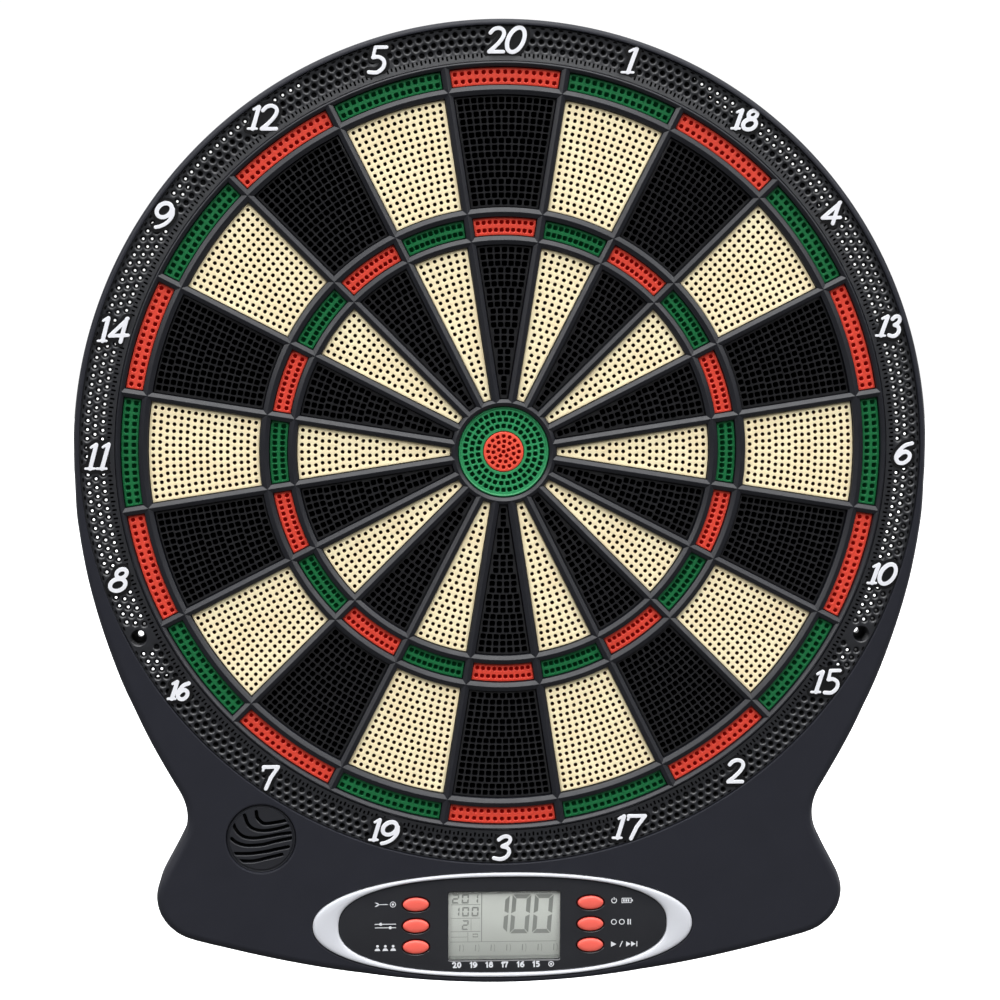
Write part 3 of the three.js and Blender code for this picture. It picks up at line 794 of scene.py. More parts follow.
def spider_shell():
    shell = Shell()
    tops, backs = [], []
    for k in range(20):
        for kind, crest0, crest1 in zip(CELLS, CRESTS, CRESTS[1:]):
            r0, r1 = CELLS[kind]
            levels = [
                (cell(kind, crest0 + d, crest1 - d, d), z)
                for d, z in ((0.14, FACE_Z), (0.38, 23.88))
            ]
            levels += [
                (cell(kind, r0 - FIT - d, r1 + FIT + d, POCKET - d), z)
                for d, z in ((0.12, 22.78), (0.0, 22.55), (0.0, SPIDER_BACK_Z))
            ]
            top, back = shell.stack([(turned(p, SECTOR_DEG * k), z) for p, z in levels])
            tops.append(top)
            backs.append(back)
    bull_r = BULL_OUT + FIT
    top, back = shell.stack(rings(
        160, (CRESTS[0] - 0.14, FACE_Z), (CRESTS[0] - 0.38, 23.88), (bull_r + 0.12, 22.9),
        (bull_r, 22.6), (bull_r, SPIDER_BACK_Z)))
    tops.append(top)
    backs.append(back)
    rim_top, rim_back = shell.stack(rings(
        480, (197.45, FACE_Z), (197.65, 23.92), (197.95, 23.7), (198.2, 23.35), (198.2, 3.3),
        (197.9, 3.0), (196.2, 3.0), (195.9, 3.3), (195.9, SPIDER_BACK_Z)))
    shell.cap([rim_top] + tops)
    shell.cap([rim_back] + backs)
    return shell


attach(make("spider_frame", spider_shell(), "spider", sharp=19), "spider", "spider")

# ------------------------------------------------------------------ numerals
# x0, x1, y0, y1 of each printed digit, left to right
DIGIT_BOXES = {
    20: [(-9.4, 0.2, 201.7, 215.5), (-0.4, 10.7, 201.5, 215.9)],
    1: [(58.3, 67.6, 191.8, 205.8)],
    18: [(114.6, 121.8, 164.1, 175.4), (120.1, 129.5, 163.6, 175.2)],
    4: [(161.9, 173.0, 116.3, 129.0)],
    13: [(191.3, 198.9, 58.9, 70.9), (197.6, 205.2, 58.7, 71.0)],
    6: [(202.7, 213.0, -7.1, 5.3)],
    10: [(189.5, 197.0, -69.9, -58.1), (195.3, 206.0, -70.3, -57.9)],
    15: [(161.0, 168.6, -127.4, -114.5), (167.7, 177.5, -127.8, -114.0)],
    2: [(117.5, 127.4, -174.7, -161.2)],
    17: [(57.4, 65.0, -204.3, -190.6), (65.3, 76.0, -204.7, -190.6)],
    3: [(-5.3, 5.3, -214.9, -200.7)],
    19: [(-70.0, -62.8, -204.0, -191.3), (-63.9, -53.4, -205.8, -192.4)],
    7: [(-125.0, -115.4, -176.2, -162.8)],
    16: [(-173.6, -166.9, -128.5, -117.6), (-168.8, -161.0, -128.7, -118.4)],
    8: [(-202.7, -192.0, -72.2, -58.9)],
    11: [(-213.9, -206.6, -9.4, 5.0), (-208.2, -200.3, -9.4, 5.2)],
    14: [(-206.7, -199.6, 55.6, 69.3), (-201.1, -189.9, 55.2, 69.0)],
    9: [(-177.3, -166.6, 113.1, 127.2)],
    12: [(-130.3, -123.0, 162.4, 175.4), (-123.8, -114.1, 162.5, 176.0)],
    5: [(-69.9, -59.0, 190.8, 205.4)],
}
STROKE_R = 0.99  # half the width of a stroke of weight 1
PAD_GROWTH = 1.75  # from a stroke's edge to the edge of its pad
PAD_GRID = 0.2  # pitch of the distance fields


def slanted_oval(cx, cy, half_w, half_h, slant):
    out = []
    for i in range(37):
        t = math.radians(360.0 * i / 36)
        y = half_h * math.sin(t)
        out.append((cx + half_w * math.cos(t) + slant * y, cy + y))
    return out


# Strokes of each digit in a box of height 1: (points, weight)
GLYPHS = {
    "0": [(slanted_oval(0.36, 0.5, 0.255, 0.418, 0.28), 1.0)],
    "1": [
        ([(0.66, 0.92), (0.30, 0.05)], 1.08),
        ([(0.655, 0.93), (0.52, 0.90), (0.36, 0.82)], 0.66),
        ([(0.05, 0.055), (0.52, 0.055)], 0.64),
    ],
    "2": [
        (smooth_line([(0.14, 0.75), (0.26, 0.88), (0.42, 0.925), (0.56, 0.86), (0.60, 0.71),
                      (0.50, 0.50), (0.30, 0.27), (0.10, 0.09)]), 1.0),
        ([(0.09, 0.08), (0.58, 0.085)], 0.95),
    ],
    "3": [
        (smooth_line([(0.26, 0.80), (0.40, 0.90), (0.56, 0.925), (0.67, 0.83), (0.60, 0.67),
                      (0.38, 0.55)]), 1.0),
        (smooth_line([(0.38, 0.55), (0.57, 0.49), (0.63, 0.33), (0.52, 0.15), (0.31, 0.075),
                      (0.09, 0.12)]), 1.0),
    ],
    "4": [
        ([(0.76, 0.92), (0.09, 0.30)], 0.86),
        ([(0.09, 0.29), (0.76, 0.32)], 0.9),
        ([(0.72, 0.90), (0.48, 0.08)], 1.0),
    ],
    "5": [
        ([(0.70, 0.92), (0.32, 0.915)], 0.92),
        ([(0.32, 0.915), (0.24, 0.58)], 0.85),
        (smooth_line([(0.24, 0.58), (0.43, 0.60), (0.60, 0.49), (0.59, 0.28), (0.38, 0.10),
                      (0.10, 0.10)]), 1.0),
    ],
    "6": [
        (smooth_line([(0.74, 0.91), (0.43, 0.80), (0.18, 0.53), (0.09, 0.29), (0.19, 0.10),
                      (0.42, 0.085), (0.62, 0.25), (0.65, 0.44), (0.51, 0.56), (0.31, 0.51),
                      (0.13, 0.36)]), 1.0),
    ],
    "7": [
        ([(0.09, 0.78), (0.13, 0.91)], 0.7),
        ([(0.11, 0.91), (0.71, 0.91)], 0.95),
        ([(0.70, 0.90), (0.40, 0.50), (0.20, 0.08)], 1.0),
    ],
    "8": [
        (slanted_oval(0.52, 0.745, 0.185, 0.170, 0.25), 0.95),
        (slanted_oval(0.38, 0.32, 0.270, 0.235, 0.25), 1.0),
    ],
    "9": [
        (slanted_oval(0.39, 0.66, 0.255, 0.245, 0.28), 1.0),
        (smooth_line([(0.69, 0.70), (0.66, 0.47), (0.48, 0.24), (0.26, 0.12), (0.09, 0.08)]),
         0.95),
    ],
}


def fitted_strokes(digit, x0, x1, y0, y1):
    """A digit's strokes stretched so that their inked edges fill its box."""
    glyph = GLYPHS[digit]
    unit_r = STROKE_R / (y1 - y0)

    def fit(axis, start, end):
        """Function from the glyph's own coordinate and a weight to the board's."""
        low = min(min(p[axis] for p in points) - unit_r * w for points, w in glyph)
        high = max(max(p[axis] for p in points) + unit_r * w for points, w in glyph)

        def place(value, w):
            share = (value - (low + unit_r * w)) / ((high - low) - 2 * unit_r * w)
            return start + STROKE_R * w + share * ((end - start) - 2 * STROKE_R * w)

        return place

    fit_x, fit_y = fit(0, x0, x1), fit(1, y0, y1)
    return [([(fit_x(x, w), fit_y(y, w)) for x, y in points], STROKE_R * w) for points, w in glyph]


def number_field(number):
    """Grid lines round a number and the distance field of its strokes."""
    boxes = DIGIT_BOXES[number]
    strokes = []
    for digit, corners in zip(str(number), boxes):
        strokes += fitted_strokes(digit, *corners)
    xs = np.arange(min(b[0] for b in boxes) - 4, max(b[1] for b in boxes) + 4, PAD_GRID)
    ys = np.arange(min(b[2] for b in boxes) - 4, max(b[3] for b in boxes) + 4, PAD_GRID)
    return xs, ys, stroke_field(strokes, *np.meshgrid(xs, ys))


FIELDS = {number: number_field(number) for number in NUMBERS}


def print_distance(x, y):
    """Distance from a point to the nearest printed stroke's edge."""
    best = 1e9
    for xs, ys, field in FIELDS.values():
        if xs[0] < x < xs[-1] and ys[0] < y < ys[-1]:
            i = int((x - xs[0]) / PAD_GRID)
            j = int((y - ys[0]) / PAD_GRID)
            best = min(best, field[min(j, len(ys) - 1), min(i, len(xs) - 1)])
    return best


def numeral_shell(number):
    """Raised figures on a pad that follows their outline."""
    shell = Shell()
    xs, ys, field = FIELDS[number]
    inked = [respaced(p, 0.55) for p in contours(field, xs, ys)]
    inked = [p for p in inked if abs(signed_area(p)) > 0.5]
    pad = respaced(max(contours(field, xs, ys, PAD_GROWTH), key=lambda p: abs(signed_area(p))), 0.8)
    pad_z, top_z = RING_Z + 0.35, RING_Z + 0.95
    chamfer = 0.05 if number == 16 else 0.16
    pad_top, pad_foot = shell.stack([(pad, pad_z), (pad, RING_Z - 0.5)], 1)
    low = [shell.loop(p, pad_z) for p in inked]
    top = [shell.loop(offset(p, chamfer if signed_area(p) > 0 else -chamfer), top_z) for p in inked]
    shoulder = [shell.loop(p, top_z - 0.16) for p in inked]
    for a, b, c in zip(low, shoulder, top):
        shell.bridge(a, b)
        shell.bridge(b, c)
    shell.cap([pad_top] + low, 1)
    shell.cap(top)
    shell.cap([pad_foot], 1)
    return shell


for number in NUMBERS:
    attach(make("numeral_%02d" % number, numeral_shell(number), "white", "numeral_pad", sharp=40),
           "numerals")

# ------------------------------------------------------------------ number ring
RING_IN_R, SLOPE_R, RING_OUT_R = 198.5, 202.45, 216.0  # it slopes up inside SLOPE_R
SLOPE_RISE = 0.85
RING_STEPS = 576
RING_PITCHES = 288  # holes in each row round the ring
CUP_ROWS = ((204.75, 0.5), (208.65, 0.0), (212.5, 0.5))  # radius, shift in pitches


def ring_top(x, y):
    r = math.hypot(x, y)
    if r >= SLOPE_R:
        return RING_Z
    return RING_Z + (SLOPE_R - r) / (SLOPE_R - RING_IN_R) * SLOPE_RISE


def near_any(places, x, y, gap):
    return any(math.hypot(x - px, y - py) < gap for px, py in places)


def ring_cups(shell):
    """Three rows of funnels, through the plate except over the posts; mouths and lower ends."""
    mouths, ends = [], []
    for r, shift in CUP_ROWS:
        for i in range(RING_PITCHES):
            x, y = polar(r, 360.0 * (i + shift) / RING_PITCHES)
            if print_distance(x, y) < 0.9 or near_any(BOSSES, x, y, 7.3):
                continue
            blind = near_any(RING_POSTS, x, y, 5.0)
            mouth, end = shell.stack(circles(
                14, x, y, (2.14, RING_Z), (1.82, RING_Z - 0.18), (1.36, RING_Z - 0.6),
                (0.66, 21.0 if blind else RING_BACK_Z)), (0, 0, 1))
            if blind:
                shell.ngon(end, 1)
            else:
                ends.append(end)
            mouths.append(mouth)
    return mouths, ends


def ring_slots(shell):
    """Radial slots in the slope, long and short in turn."""

    def slot_outline(d):
        half, low, high = 0.5 - d, inner_r + d, 202.3 - d
        points = [
            (-half, low + 0.2), (-half / 2, low), (half / 2, low), (half, low + 0.2),
            (half, high - 0.2), (half / 2, high), (-half / 2, high), (-half, high - 0.2),
        ]
        return turned(points, deg)

    mouths = []
    for i in range(RING_PITCHES * 2):
        deg = 180.0 * (i + 0.5) / RING_PITCHES
        if print_distance(*polar(201.2, deg)) < 1.2:
            continue
        inner_r = 199.9 if i % 2 == 0 else 200.6
        levels = [(slot_outline(0.0), ring_top), (slot_outline(0.06), 21.6)]
        mouths.append(shell.pit(levels, 1, end_slot=1))
    return mouths


def ring_dimples(shell):
    """Row of oval dimples along the outer edge."""
    mouths = []
    for i in range(RING_PITCHES):
        deg = 360.0 * i / RING_PITCHES
        x, y = polar(215.05, deg)
        if print_distance(x, y) < 0.9 or near_any(BOSSES, x, y, 6.6):
            continue
        angles = [2 * math.pi * q / 10 for q in range(10)]
        levels = []
        for k, z in ((1.0, RING_Z), (0.7, RING_Z - 0.5)):
            points = [(1.25 * k * math.cos(t), 0.55 * k * math.sin(t)) for t in angles]
            levels.append((turned(points, deg, x, y), z))
        mouths.append(shell.pit(levels, 1, end_slot=1))
    return mouths


def ring_shell():
    shell = Shell()
    inner = shell.loop(ring(RING_IN_R, RING_STEPS), ring_top)
    slope = shell.loop(ring(SLOPE_R, RING_STEPS), ring_top)
    edge, rim_back = shell.stack(rings(
        RING_STEPS, (RING_OUT_R - 0.25, RING_Z), (RING_OUT_R, RING_Z - 0.25),
        (RING_OUT_R, RING_BACK_Z)))
    inner_back = shell.loop(ring(RING_IN_R, RING_STEPS), RING_BACK_Z)
    shell.bridge(inner, inner_back)
    flat_holes, back_holes = ring_cups(shell)
    slope_holes = ring_slots(shell)
    flat_holes += ring_dimples(shell)
    for x, y in BOSSES:
        mouth, root = shell.stack(circles(
            40, x, y, (4.5, RING_Z), (4.05, RING_Z - 0.45), (4.0, 9.0), (1.6, 9.0), (1.6, 5.0),
            (3.2, 5.0), (3.2, 0.0), (5.2, 0.0), (5.2, RING_BACK_Z)))
        flat_holes.append(mouth)
        back_holes.append(root)
    for x, y in RING_POSTS:
        back_holes.append(shell.pit(circles(
            24, x, y, (3.4, RING_BACK_Z), (3.4, 4.7), (1.75, 4.7), (1.75, 16.0))))
    shell.cap([inner, slope] + slope_holes)
    shell.cap([slope, edge] + flat_holes)
    shell.cap([rim_back, inner_back] + back_holes)
    return shell


# the second material darkens the funnel bores, slot walls and dimples: painted shade
attach(make("number_ring_plate", ring_shell(), "ring", "ring_hole_painted_shade"), "ring", "number_ring")

# ------------------------------------------------------------------ front housing
CROWN_R = 219.3
HALF_WIDTH = 219.14
# x, y down the right flank from below the crown to beside the lowest point
FLANK = [
    (218.85, -14), (218.25, -30), (216.7, -43), (214.2, -58.4), (211.55, -71), (208.35, -83.5),
    (204.6, -96.1), (200.35, -108.7), (195.5, -121.4), (189.8, -134.1), (183.9, -146.9),
    (177.35, -159.5), (170.2, -172.3), (166.6, -178.7), (164.3, -185.1), (163.75, -191.5),
    (164.95, -198), (167.9, -204.4), (171.25, -210.9), (174.7, -217.3), (177.9, -223.7),
    (179.75, -230.2), (179.6, -236.6), (177.4, -243.1), (172.4, -249.6), (163.5, -255.1),
    (142.4, -260.9), (121.4, -266.0), (100.3, -270.45), (79.2, -274.05), (58, -276.75),
    (37, -278.7), (15.9, -279.9),
]
LOWEST = (0.0, -280.25)
FILLET_TOP, FILLET_FOOT = 2.4, 4.2  # rounding of the front edge above and below
WALL = 2.4
RING_WELL_R = 216.3  # opening that holds the number ring

PANEL = (0.7, -248.95)  # centre of the control panel
# Panel ovals: half width, half height, exponent
TRIM = (99.6, 27.95, 2.15)
PLATE = (86.0, 25.5, 2.45)
PLATE_FLANGE = (102, 27.2, 2.15)
LCD_X, LCD_Y, LCD_W, LCD_H = 1.3, -249.55, 58.0, 36.1
BUTTON = (6.8, 3.6)  # half width, half height
BUTTON_X = (-45.1, 46.6)
BUTTON_Y = (-237.5, -249.0, -260.3)
SPEAKER_X, SPEAKER_Y, GRILLE_R = -125.5, -201.5, 17.8


def body_edge():
    """Housing outline, anticlockwise from the left-hand end of the crown."""
    right = [polar(CROWN_R, 91.5)] + FLANK + [LOWEST]
    lower = right + [(-x, y) for x, y in reversed(right[:-1])]
    steps = 8
    curve = smooth_line([polar(CROWN_R, 89.0)] + lower + [polar(CROWN_R, -89.0)], steps)
    crown = polar_arc(CROWN_R, -91.5, 183, 180)[1:-1]
    outline = (crown + curve[steps:-steps])[::-1]
    return [(max(-HALF_WIDTH, min(HALF_WIDTH, x)), y) for x, y in outline]


EDGE = body_edge()


def edge_below(top, distance):
    """Part of the housing outline below a height, left to right, moved inwards."""
    return [q for q, p in zip(offset(EDGE, distance), EDGE) if p[1] < top]


def panel_oval(shape, grow, count=200):
    half_w, half_h, exponent = shape
    return oval(half_w + grow, half_h + grow, exponent, count, *PANEL)


def edge_fillets():
    """Front edge rounding at each outline point, kept clear of the panel's recess."""
    recess = np.array(panel_oval(TRIM, 1.2, 3200))
    out = []
    for x, y in EDGE:
        t = smoothstep(min(1, max(0, (-50 - y) / 70.0)))
        room = float(np.min(np.hypot(recess[:, 0] - x, recess[:, 1] - y))) - 0.35
        out.append(min(FILLET_TOP + (FILLET_FOOT - FILLET_TOP) * t, room))
    return np.array(out)


def front_housing_shell():
    shell = Shell()
    fillets = edge_fillets()
    levels = []
    for i in range(8):
        a = math.pi / 2 * i / 7
        heights = [FACE_Z - f * (1 - math.cos(a)) for f in fillets]
        levels.append((offset(EDGE, fillets * (1 - math.sin(a))), heights))
    top, back = shell.stack(levels + [(EDGE, 0.5), (offset(EDGE, 0.45), 0.0)])
    well_top, well_back = shell.stack(rings(
        360, (RING_WELL_R + 0.32, FACE_Z), (RING_WELL_R + 0.1, 23.9), (RING_WELL_R, 23.68),
        (RING_WELL_R, 0.0)))
    cavity = edge_below(-84, WALL) + polar_arc(RING_WELL_R + WALL, 114, 132, 60)
    cavity_floor, cavity_back = shell.stack([(cavity, CAVITY_Z), (cavity, 0.0)])
    panel_top, panel_back = shell.stack([
        (panel_oval(TRIM, grow, 160), z)
        for grow, z in ((1.2, FACE_Z), (0.75, 23.86), (0.5, 23.5), (0.5, CAVITY_Z))
    ])
    speaker_top, speaker_back = shell.stack(circles(
        72, SPEAKER_X, SPEAKER_Y, (GRILLE_R + 1.1, FACE_Z), (GRILLE_R + 0.5, 23.8),
        (GRILLE_R + 0.3, 23.4), (GRILLE_R + 0.3, CAVITY_Z)))
    posts = [
        shell.pit(circles(
            24, x, y, (3.8, CAVITY_Z), (3.8, 5.0), (3.5, 4.7), (1.75, 4.7), (1.75, 16.0)))
        for x, y in SCREWS
    ]
    shell.cap([top, well_top, panel_top, speaker_top])
    shell.cap([back, well_back, cavity_back])
    shell.cap([cavity_floor, panel_back, speaker_back] + posts)
    return shell


housing = make("front_housing_shell", front_housing_shell(), "housing")
# shallow relief in the back of the wall between the ring well and the cavity
wall_sector = polar_arc(215.3, 121, 118, 60) + polar_arc(219.6, 239, -118, 60)
cut(housing, [(wall_sector, -1.0), (wall_sector, 2.8)])
attach(crisp_caps(housing), "housing", "front_housing")


# ------------------------------------------------------------------ panel trim and plate
def trim_shell():
    shell = Shell()
    outer, inner = panel_oval(TRIM, 0), panel_oval(PLATE, 0.35)
    # share of the way from the outer edge to the inner, z
    profile = (
        (0, 21.6), (0, 23.7), (0.03, 24.2), (0.10, 24.6), (0.25, 24.85), (0.5, 24.9),
        (0.75, 24.8), (0.9, 24.5), (0.97, 24.2), (1, 23.8), (1, 21.6),
    )
    shell.tube([
        ([(p[0] * (1 - t) + q[0] * t, p[1] * (1 - t) + q[1] * t) for p, q in zip(outer, inner)], z)
        for t, z in profile
    ])
    return shell


def lcd_rect(half_w, half_h, r):
    return rrect(LCD_X - half_w, LCD_Y - half_h, LCD_X + half_w, LCD_Y + half_h, r)


def window_rect(grow, r):
    return lcd_rect(LCD_W / 2 + grow, LCD_H / 2 + grow, r)


def button_oval(x, y, grow_x, grow_y):
    return oval(BUTTON[0] + grow_x, BUTTON[1] + grow_y, 2, 40, x, y)


def panel_shell():
    shell = Shell()
    step_z, back_z = 21.3, 19.8
    ends = [shell.stack([
        (panel_oval(PLATE, -0.7), PANEL_Z), (panel_oval(PLATE, -0.3), 23.7),
        (panel_oval(PLATE, -0.1), 23.4), (panel_oval(PLATE, -0.1), step_z),
        (panel_oval(PLATE_FLANGE, 0), step_z), (panel_oval(PLATE_FLANGE, 0), back_z),
    ])]
    ends.append(shell.stack([
        (window_rect(0.9, 1.6), PANEL_Z), (window_rect(0.4, 1.1), 23.45),
        (window_rect(0.3, 1.0), 21.7), (lcd_rect(31, 20.5, 0.6), 21.7),
        (lcd_rect(31, 20.5, 0.6), back_z),
    ]))
    for x in BUTTON_X:
        for y in BUTTON_Y:
            ends.append(shell.stack([
                (button_oval(x, y, grow, grow), z)
                for grow, z in ((1.0, PANEL_Z), (0.7, 23.6), (0.65, step_z), (1.9, step_z),
                                (1.9, back_z))
            ]))
    for loops in zip(*ends):
        shell.cap(list(loops))
    return shell


attach(make("panel_trim_ring", trim_shell(), "trim", sharp=40), "trim", "panel_trim")
attach(make("control_panel_plate", panel_shell(), "panel"), "panel", "control_panel")

# ------------------------------------------------------------------ panel print
PRINT_BACK_Z, PRINT_Z = 23.72, 23.87
LABEL_PITCH = 8.25
LABEL_Y, LABEL_H, LABEL_DIGIT_W = -270.3, 3.5, 2.1
LABEL_STROKE_R = 0.385
LABEL_ONE = [([(0.30, 0.93), (0.30, 0.05)], 1.0), ([(0.30, 0.93), (0.06, 0.74)], 0.8)]


def slab(shell, outline, back_z=PRINT_BACK_Z, top_z=PRINT_Z, slot=0):
    outline = anticlockwise(outline)
    shell.solid([(outline, top_z), (outline, back_z)], slot)


def disc(shell, x, y, r, count=18, top_z=PRINT_Z):
    slab(shell, circle(r, count, x, y), top_z=top_z)


def bar(shell, x0, y0, x1, y1):
    slab(shell, box(x0, y0, x1, y1))


def annulus(shell, x, y, r0, r1):
    shell.tube(circles(
        28, x, y, (r1, PRINT_Z), (r1, PRINT_BACK_Z), (r0, PRINT_BACK_Z), (r0, PRINT_Z)))


def label_strokes(label, cx):
    strokes = []
    foot = LABEL_Y - LABEL_H / 2 + 0.24
    for j, digit in enumerate(label):
        x0 = cx - 2.3 + j * 2.5
        if digit == "1":
            glyph, slant, shift = LABEL_ONE, 0.0, 0.25
        else:
            glyph, slant, shift = [(points, 1) for points, _ in GLYPHS[digit]], 0.26, 0.07
        for points, weight in glyph:
            placed = [
                (x0 + (x - slant * y + shift) * LABEL_DIGIT_W / 0.72, foot + y * (LABEL_H - 0.48))
                for x, y in points
            ]
            strokes.append((placed, LABEL_STROKE_R * weight))
    return strokes


def print_label(shell, label, cx):
    xs = np.arange(cx - 3.4, cx + 3.6, 0.06)
    ys = np.arange(LABEL_Y - 2.2, LABEL_Y + 2.2, 0.06)
    field = stroke_field(label_strokes(label, cx), *np.meshgrid(xs, ys))
    outlines = [respaced(p, 0.16) for p in contours(field, xs, ys)]
    outlines = [p for p in outlines if abs(signed_area(p)) > 0.05]
    tops = [shell.loop(p, PRINT_Z) for p in outlines]
    backs = [shell.loop(p, PRINT_BACK_Z) for p in outlines]
    for a, b in zip(tops, backs):
        shell.bridge(a, b)
    shell.cap(tops)
    shell.cap(backs)


def print_left_signs(shell):
    # dart beside a small target
    x, y = -65.2, -237.3
    annulus(shell, -57.1, y, 1.2, 1.55)
    disc(shell, -57.1, y, 0.6)
    slab(shell, [(x, y - 0.16), (x + 4.6, y - 0.22), (x + 5.8, y), (x + 4.6, y + 0.22),
                 (x, y + 0.16)])
    slab(shell, [(x - 1.5, y + 1.15), (x - 0.2, y + 1.0), (x + 0.9, y + 0.3), (x - 0.3, y + 0.3)])
    slab(shell, [(x - 1.5, y - 1.15), (x - 0.3, y - 0.3), (x + 0.9, y - 0.3), (x - 0.2, y - 1.0)])
    # two sliders
    for y, knob_x in ((-248.8 + 0.95, -63.5), (-248.8 - 0.95, -58.5)):
        bar(shell, -66.6, y - 0.2, -55.5, y + 0.2)
        disc(shell, knob_x, y, 0.8, count=20, top_z=23.9)
    # three busts
    y = -260.7
    for k in range(3):
        x = -57.0 - 4.1 * k
        disc(shell, x, y + 1.0, 0.72)
        slab(shell, arc(x, y - 1.5, 1.45, 0, 180, 12))


def print_right_signs(shell):
    # open ring with an upright bar
    y = -236.6
    slab(shell, arc(59.0, y, 1.5, 125, 415, 28) + arc(59.0, y, 1.05, 415, 125, 28))
    bar(shell, 58.78, y + 0.3, 59.22, y + 1.75)
    # hollow frame with a nub on its right and three bars inside
    frames = (box(63.0, y - 1.35, 68.2, y + 1.35), box(63.35, y - 1.0, 67.85, y + 1.0))
    ends = [shell.stack([(p, PRINT_Z), (p, PRINT_BACK_Z)]) for p in frames]
    for loops in zip(*ends):
        shell.cap(list(loops))
    for x0, x1, half in ((68.35, 68.9, 0.5), (63.8, 64.6, 0.7), (65.0, 65.8, 0.7),
                         (66.2, 67.0, 0.7)):
        bar(shell, x0, y - half, x1, y + half)
    # two rings and two bars
    y = -248.1
    annulus(shell, 59.0, y, 1.1, 1.5)
    annulus(shell, 63.2, y, 1.1, 1.5)
    for x in (66.2, 67.4):
        bar(shell, x, y - 1.45, x + 0.6, y + 1.45)
    # triangle, stroke, then two triangles against a bar
    y = -260.1
    slab(shell, [(57.6, y - 1.45), (60.4, y), (57.6, y + 1.45)])
    slab(shell, [(62.0, y - 1.6), (62.5, y - 1.6), (63.9, y + 1.6), (63.4, y + 1.6)])
    for x in (65.6, 68.2):
        slab(shell, [(x, y - 1.4), (x + 2.4, y), (x, y + 1.4)])
    bar(shell, 71.0, y - 1.4, 71.5, y + 1.4)


def print_shell():
    """Row of target numbers ending in a bull sign, then the signs beside the buttons."""
    shell = Shell()
    for n, label in enumerate(("20", "19", "18", "17", "16", "15")):
        print_label(shell, label, LCD_X + LABEL_PITCH * (n - 3))
    bull_x, bull_y = LCD_X + LABEL_PITCH * 3, -270.35
    annulus(shell, bull_x, bull_y, 1.05, 1.5)
    disc(shell, bull_x, bull_y, 0.55)
    print_left_signs(shell)
    print_right_signs(shell)
    return shell


attach(make("panel_print", print_shell(), "print", sharp=40), "numerals")

# ------------------------------------------------------------------ buttons
# Names down the left column, then down the right
BUTTON_NAMES = (("game", "option", "player"), ("power", "double", "start_next"))
# growth in x and in y, z: flange and stem, then the domed top
BUTTON_STEM = [(1.2, 1.2, 18.5), (1.2, 1.2, 19.5), (0, 0, 19.6), (0, 0, 23.9)]
BUTTON_DOME = [
    (-0.08, -0.06, 24.2), (-0.35, -0.3, 24.62), (-0.95, -0.75, 24.92), (-2.1, -1.5, 25.1),
    (-3.9, -2.4, 25.17), (-5.6, -3.1, 25.2),
]


def button_shell(x, y):
    shell = Shell()
    levels = [(button_oval(x, y, gx, gy), z) for gx, gy, z in BUTTON_STEM + BUTTON_DOME]
    # the flange and stem take the dark red, which is partly the skirt's colour and partly painted
    # shade in the gap round the cap
    foot = shell.pit(levels, [1] * 3 + [0] * 6)
    shell.cap([foot], 1)
    return shell


for x, names in zip(BUTTON_X, BUTTON_NAMES):
    for y, label in zip(BUTTON_Y, names):
        name = "button_" + label
        attach(make(name + "_cap", button_shell(x, y), "button", "button_skirt_and_gap_shade", sharp=50),
               "button", name, body=name + "_key")

# ------------------------------------------------------------------ display
DIGIT_BARS = {"0": "abcdef", "1": "bc", "2": "abged"}
# digit, x and y of its lower left corner, width, height, bar thickness, slant
LCD_DIGITS = [
    ("1", -6.6, -253.9, 9.4, 20.3, 2.2, 0.075),
    ("0", 4.2, -254.3, 9.8, 21.0, 2.2, 0.075),
    ("0", 16.0, -254.3, 9.8, 21.0, 2.2, 0.075),
    ("2", -26.2, -237.9, 3.7, 5.0, 0.8, 0.05),
    ("0", -21.1, -237.9, 3.7, 5.0, 0.8, 0.05),
    ("1", -16.2, -237.9, 3.7, 5.0, 0.8, 0.05),
    ("1", -25.9, -244.9, 3.6, 5.1, 0.8, 0.05),
    ("0", -20.9, -244.9, 3.6, 5.1, 0.8, 0.05),
    ("0", -15.9, -244.9, 3.6, 5.1, 0.8, 0.05),
    ("2", -21.0, -252.2, 3.5, 5.3, 0.8, 0.05),
    ("0", -15.2, -256.2, 2.8, 2.0, 0.5, 0.0),
]
# x0, y0, x1, y1 of the thin rules
LCD_RULES = [
    (-10.75, -258.4, -10.3, -232.3), (-26.6, -238.7, -11.2, -238.4),
    (-26.6, -246.0, -11.2, -245.7), (-26.6, -253.2, -11.2, -252.9),
    (-26.6, -256.1, -18.1, -255.8), (-16.2, -252.6, -15.95, -246.4),
    (-17.9, -258.3, -17.6, -253.4), (-27.0, -258.75, 28.8, -258.45),
]


def seven_bars(digit, x, y, w, h, t, slant):
    """Bars of one seven-bar digit."""
    gap = 0.16 * t
    mid = h / 2
    bars = {
        "a": [(gap, h), (w - gap, h), (w - t, h - t), (t, h - t)],
        "g": [(t * 0.5, mid), (t, mid + t / 2), (w - t, mid + t / 2), (w - t * 0.5, mid),
              (w - t, mid - t / 2), (t, mid - t / 2)],
        "d": [(gap, 0), (t, t), (w - t, t), (w - gap, 0)],
        "f": [(0, h - gap), (t, h - t - gap), (t, mid + t / 2 + gap), (0, mid + gap)],
        "b": [(w, h - gap), (w, mid + gap), (w - t, mid + t / 2 + gap), (w - t, h - t - gap)],
        "e": [(0, mid - gap), (t, mid - t / 2 - gap), (t, t + gap), (0, gap)],
        "c": [(w, mid - gap), (w, gap), (w - t, t + gap), (w - t, mid - t / 2 - gap)],
    }
    return [
        [(x + px + slant * py, y + py) for px, py in bars[key]] for key in DIGIT_BARS[digit]
    ]


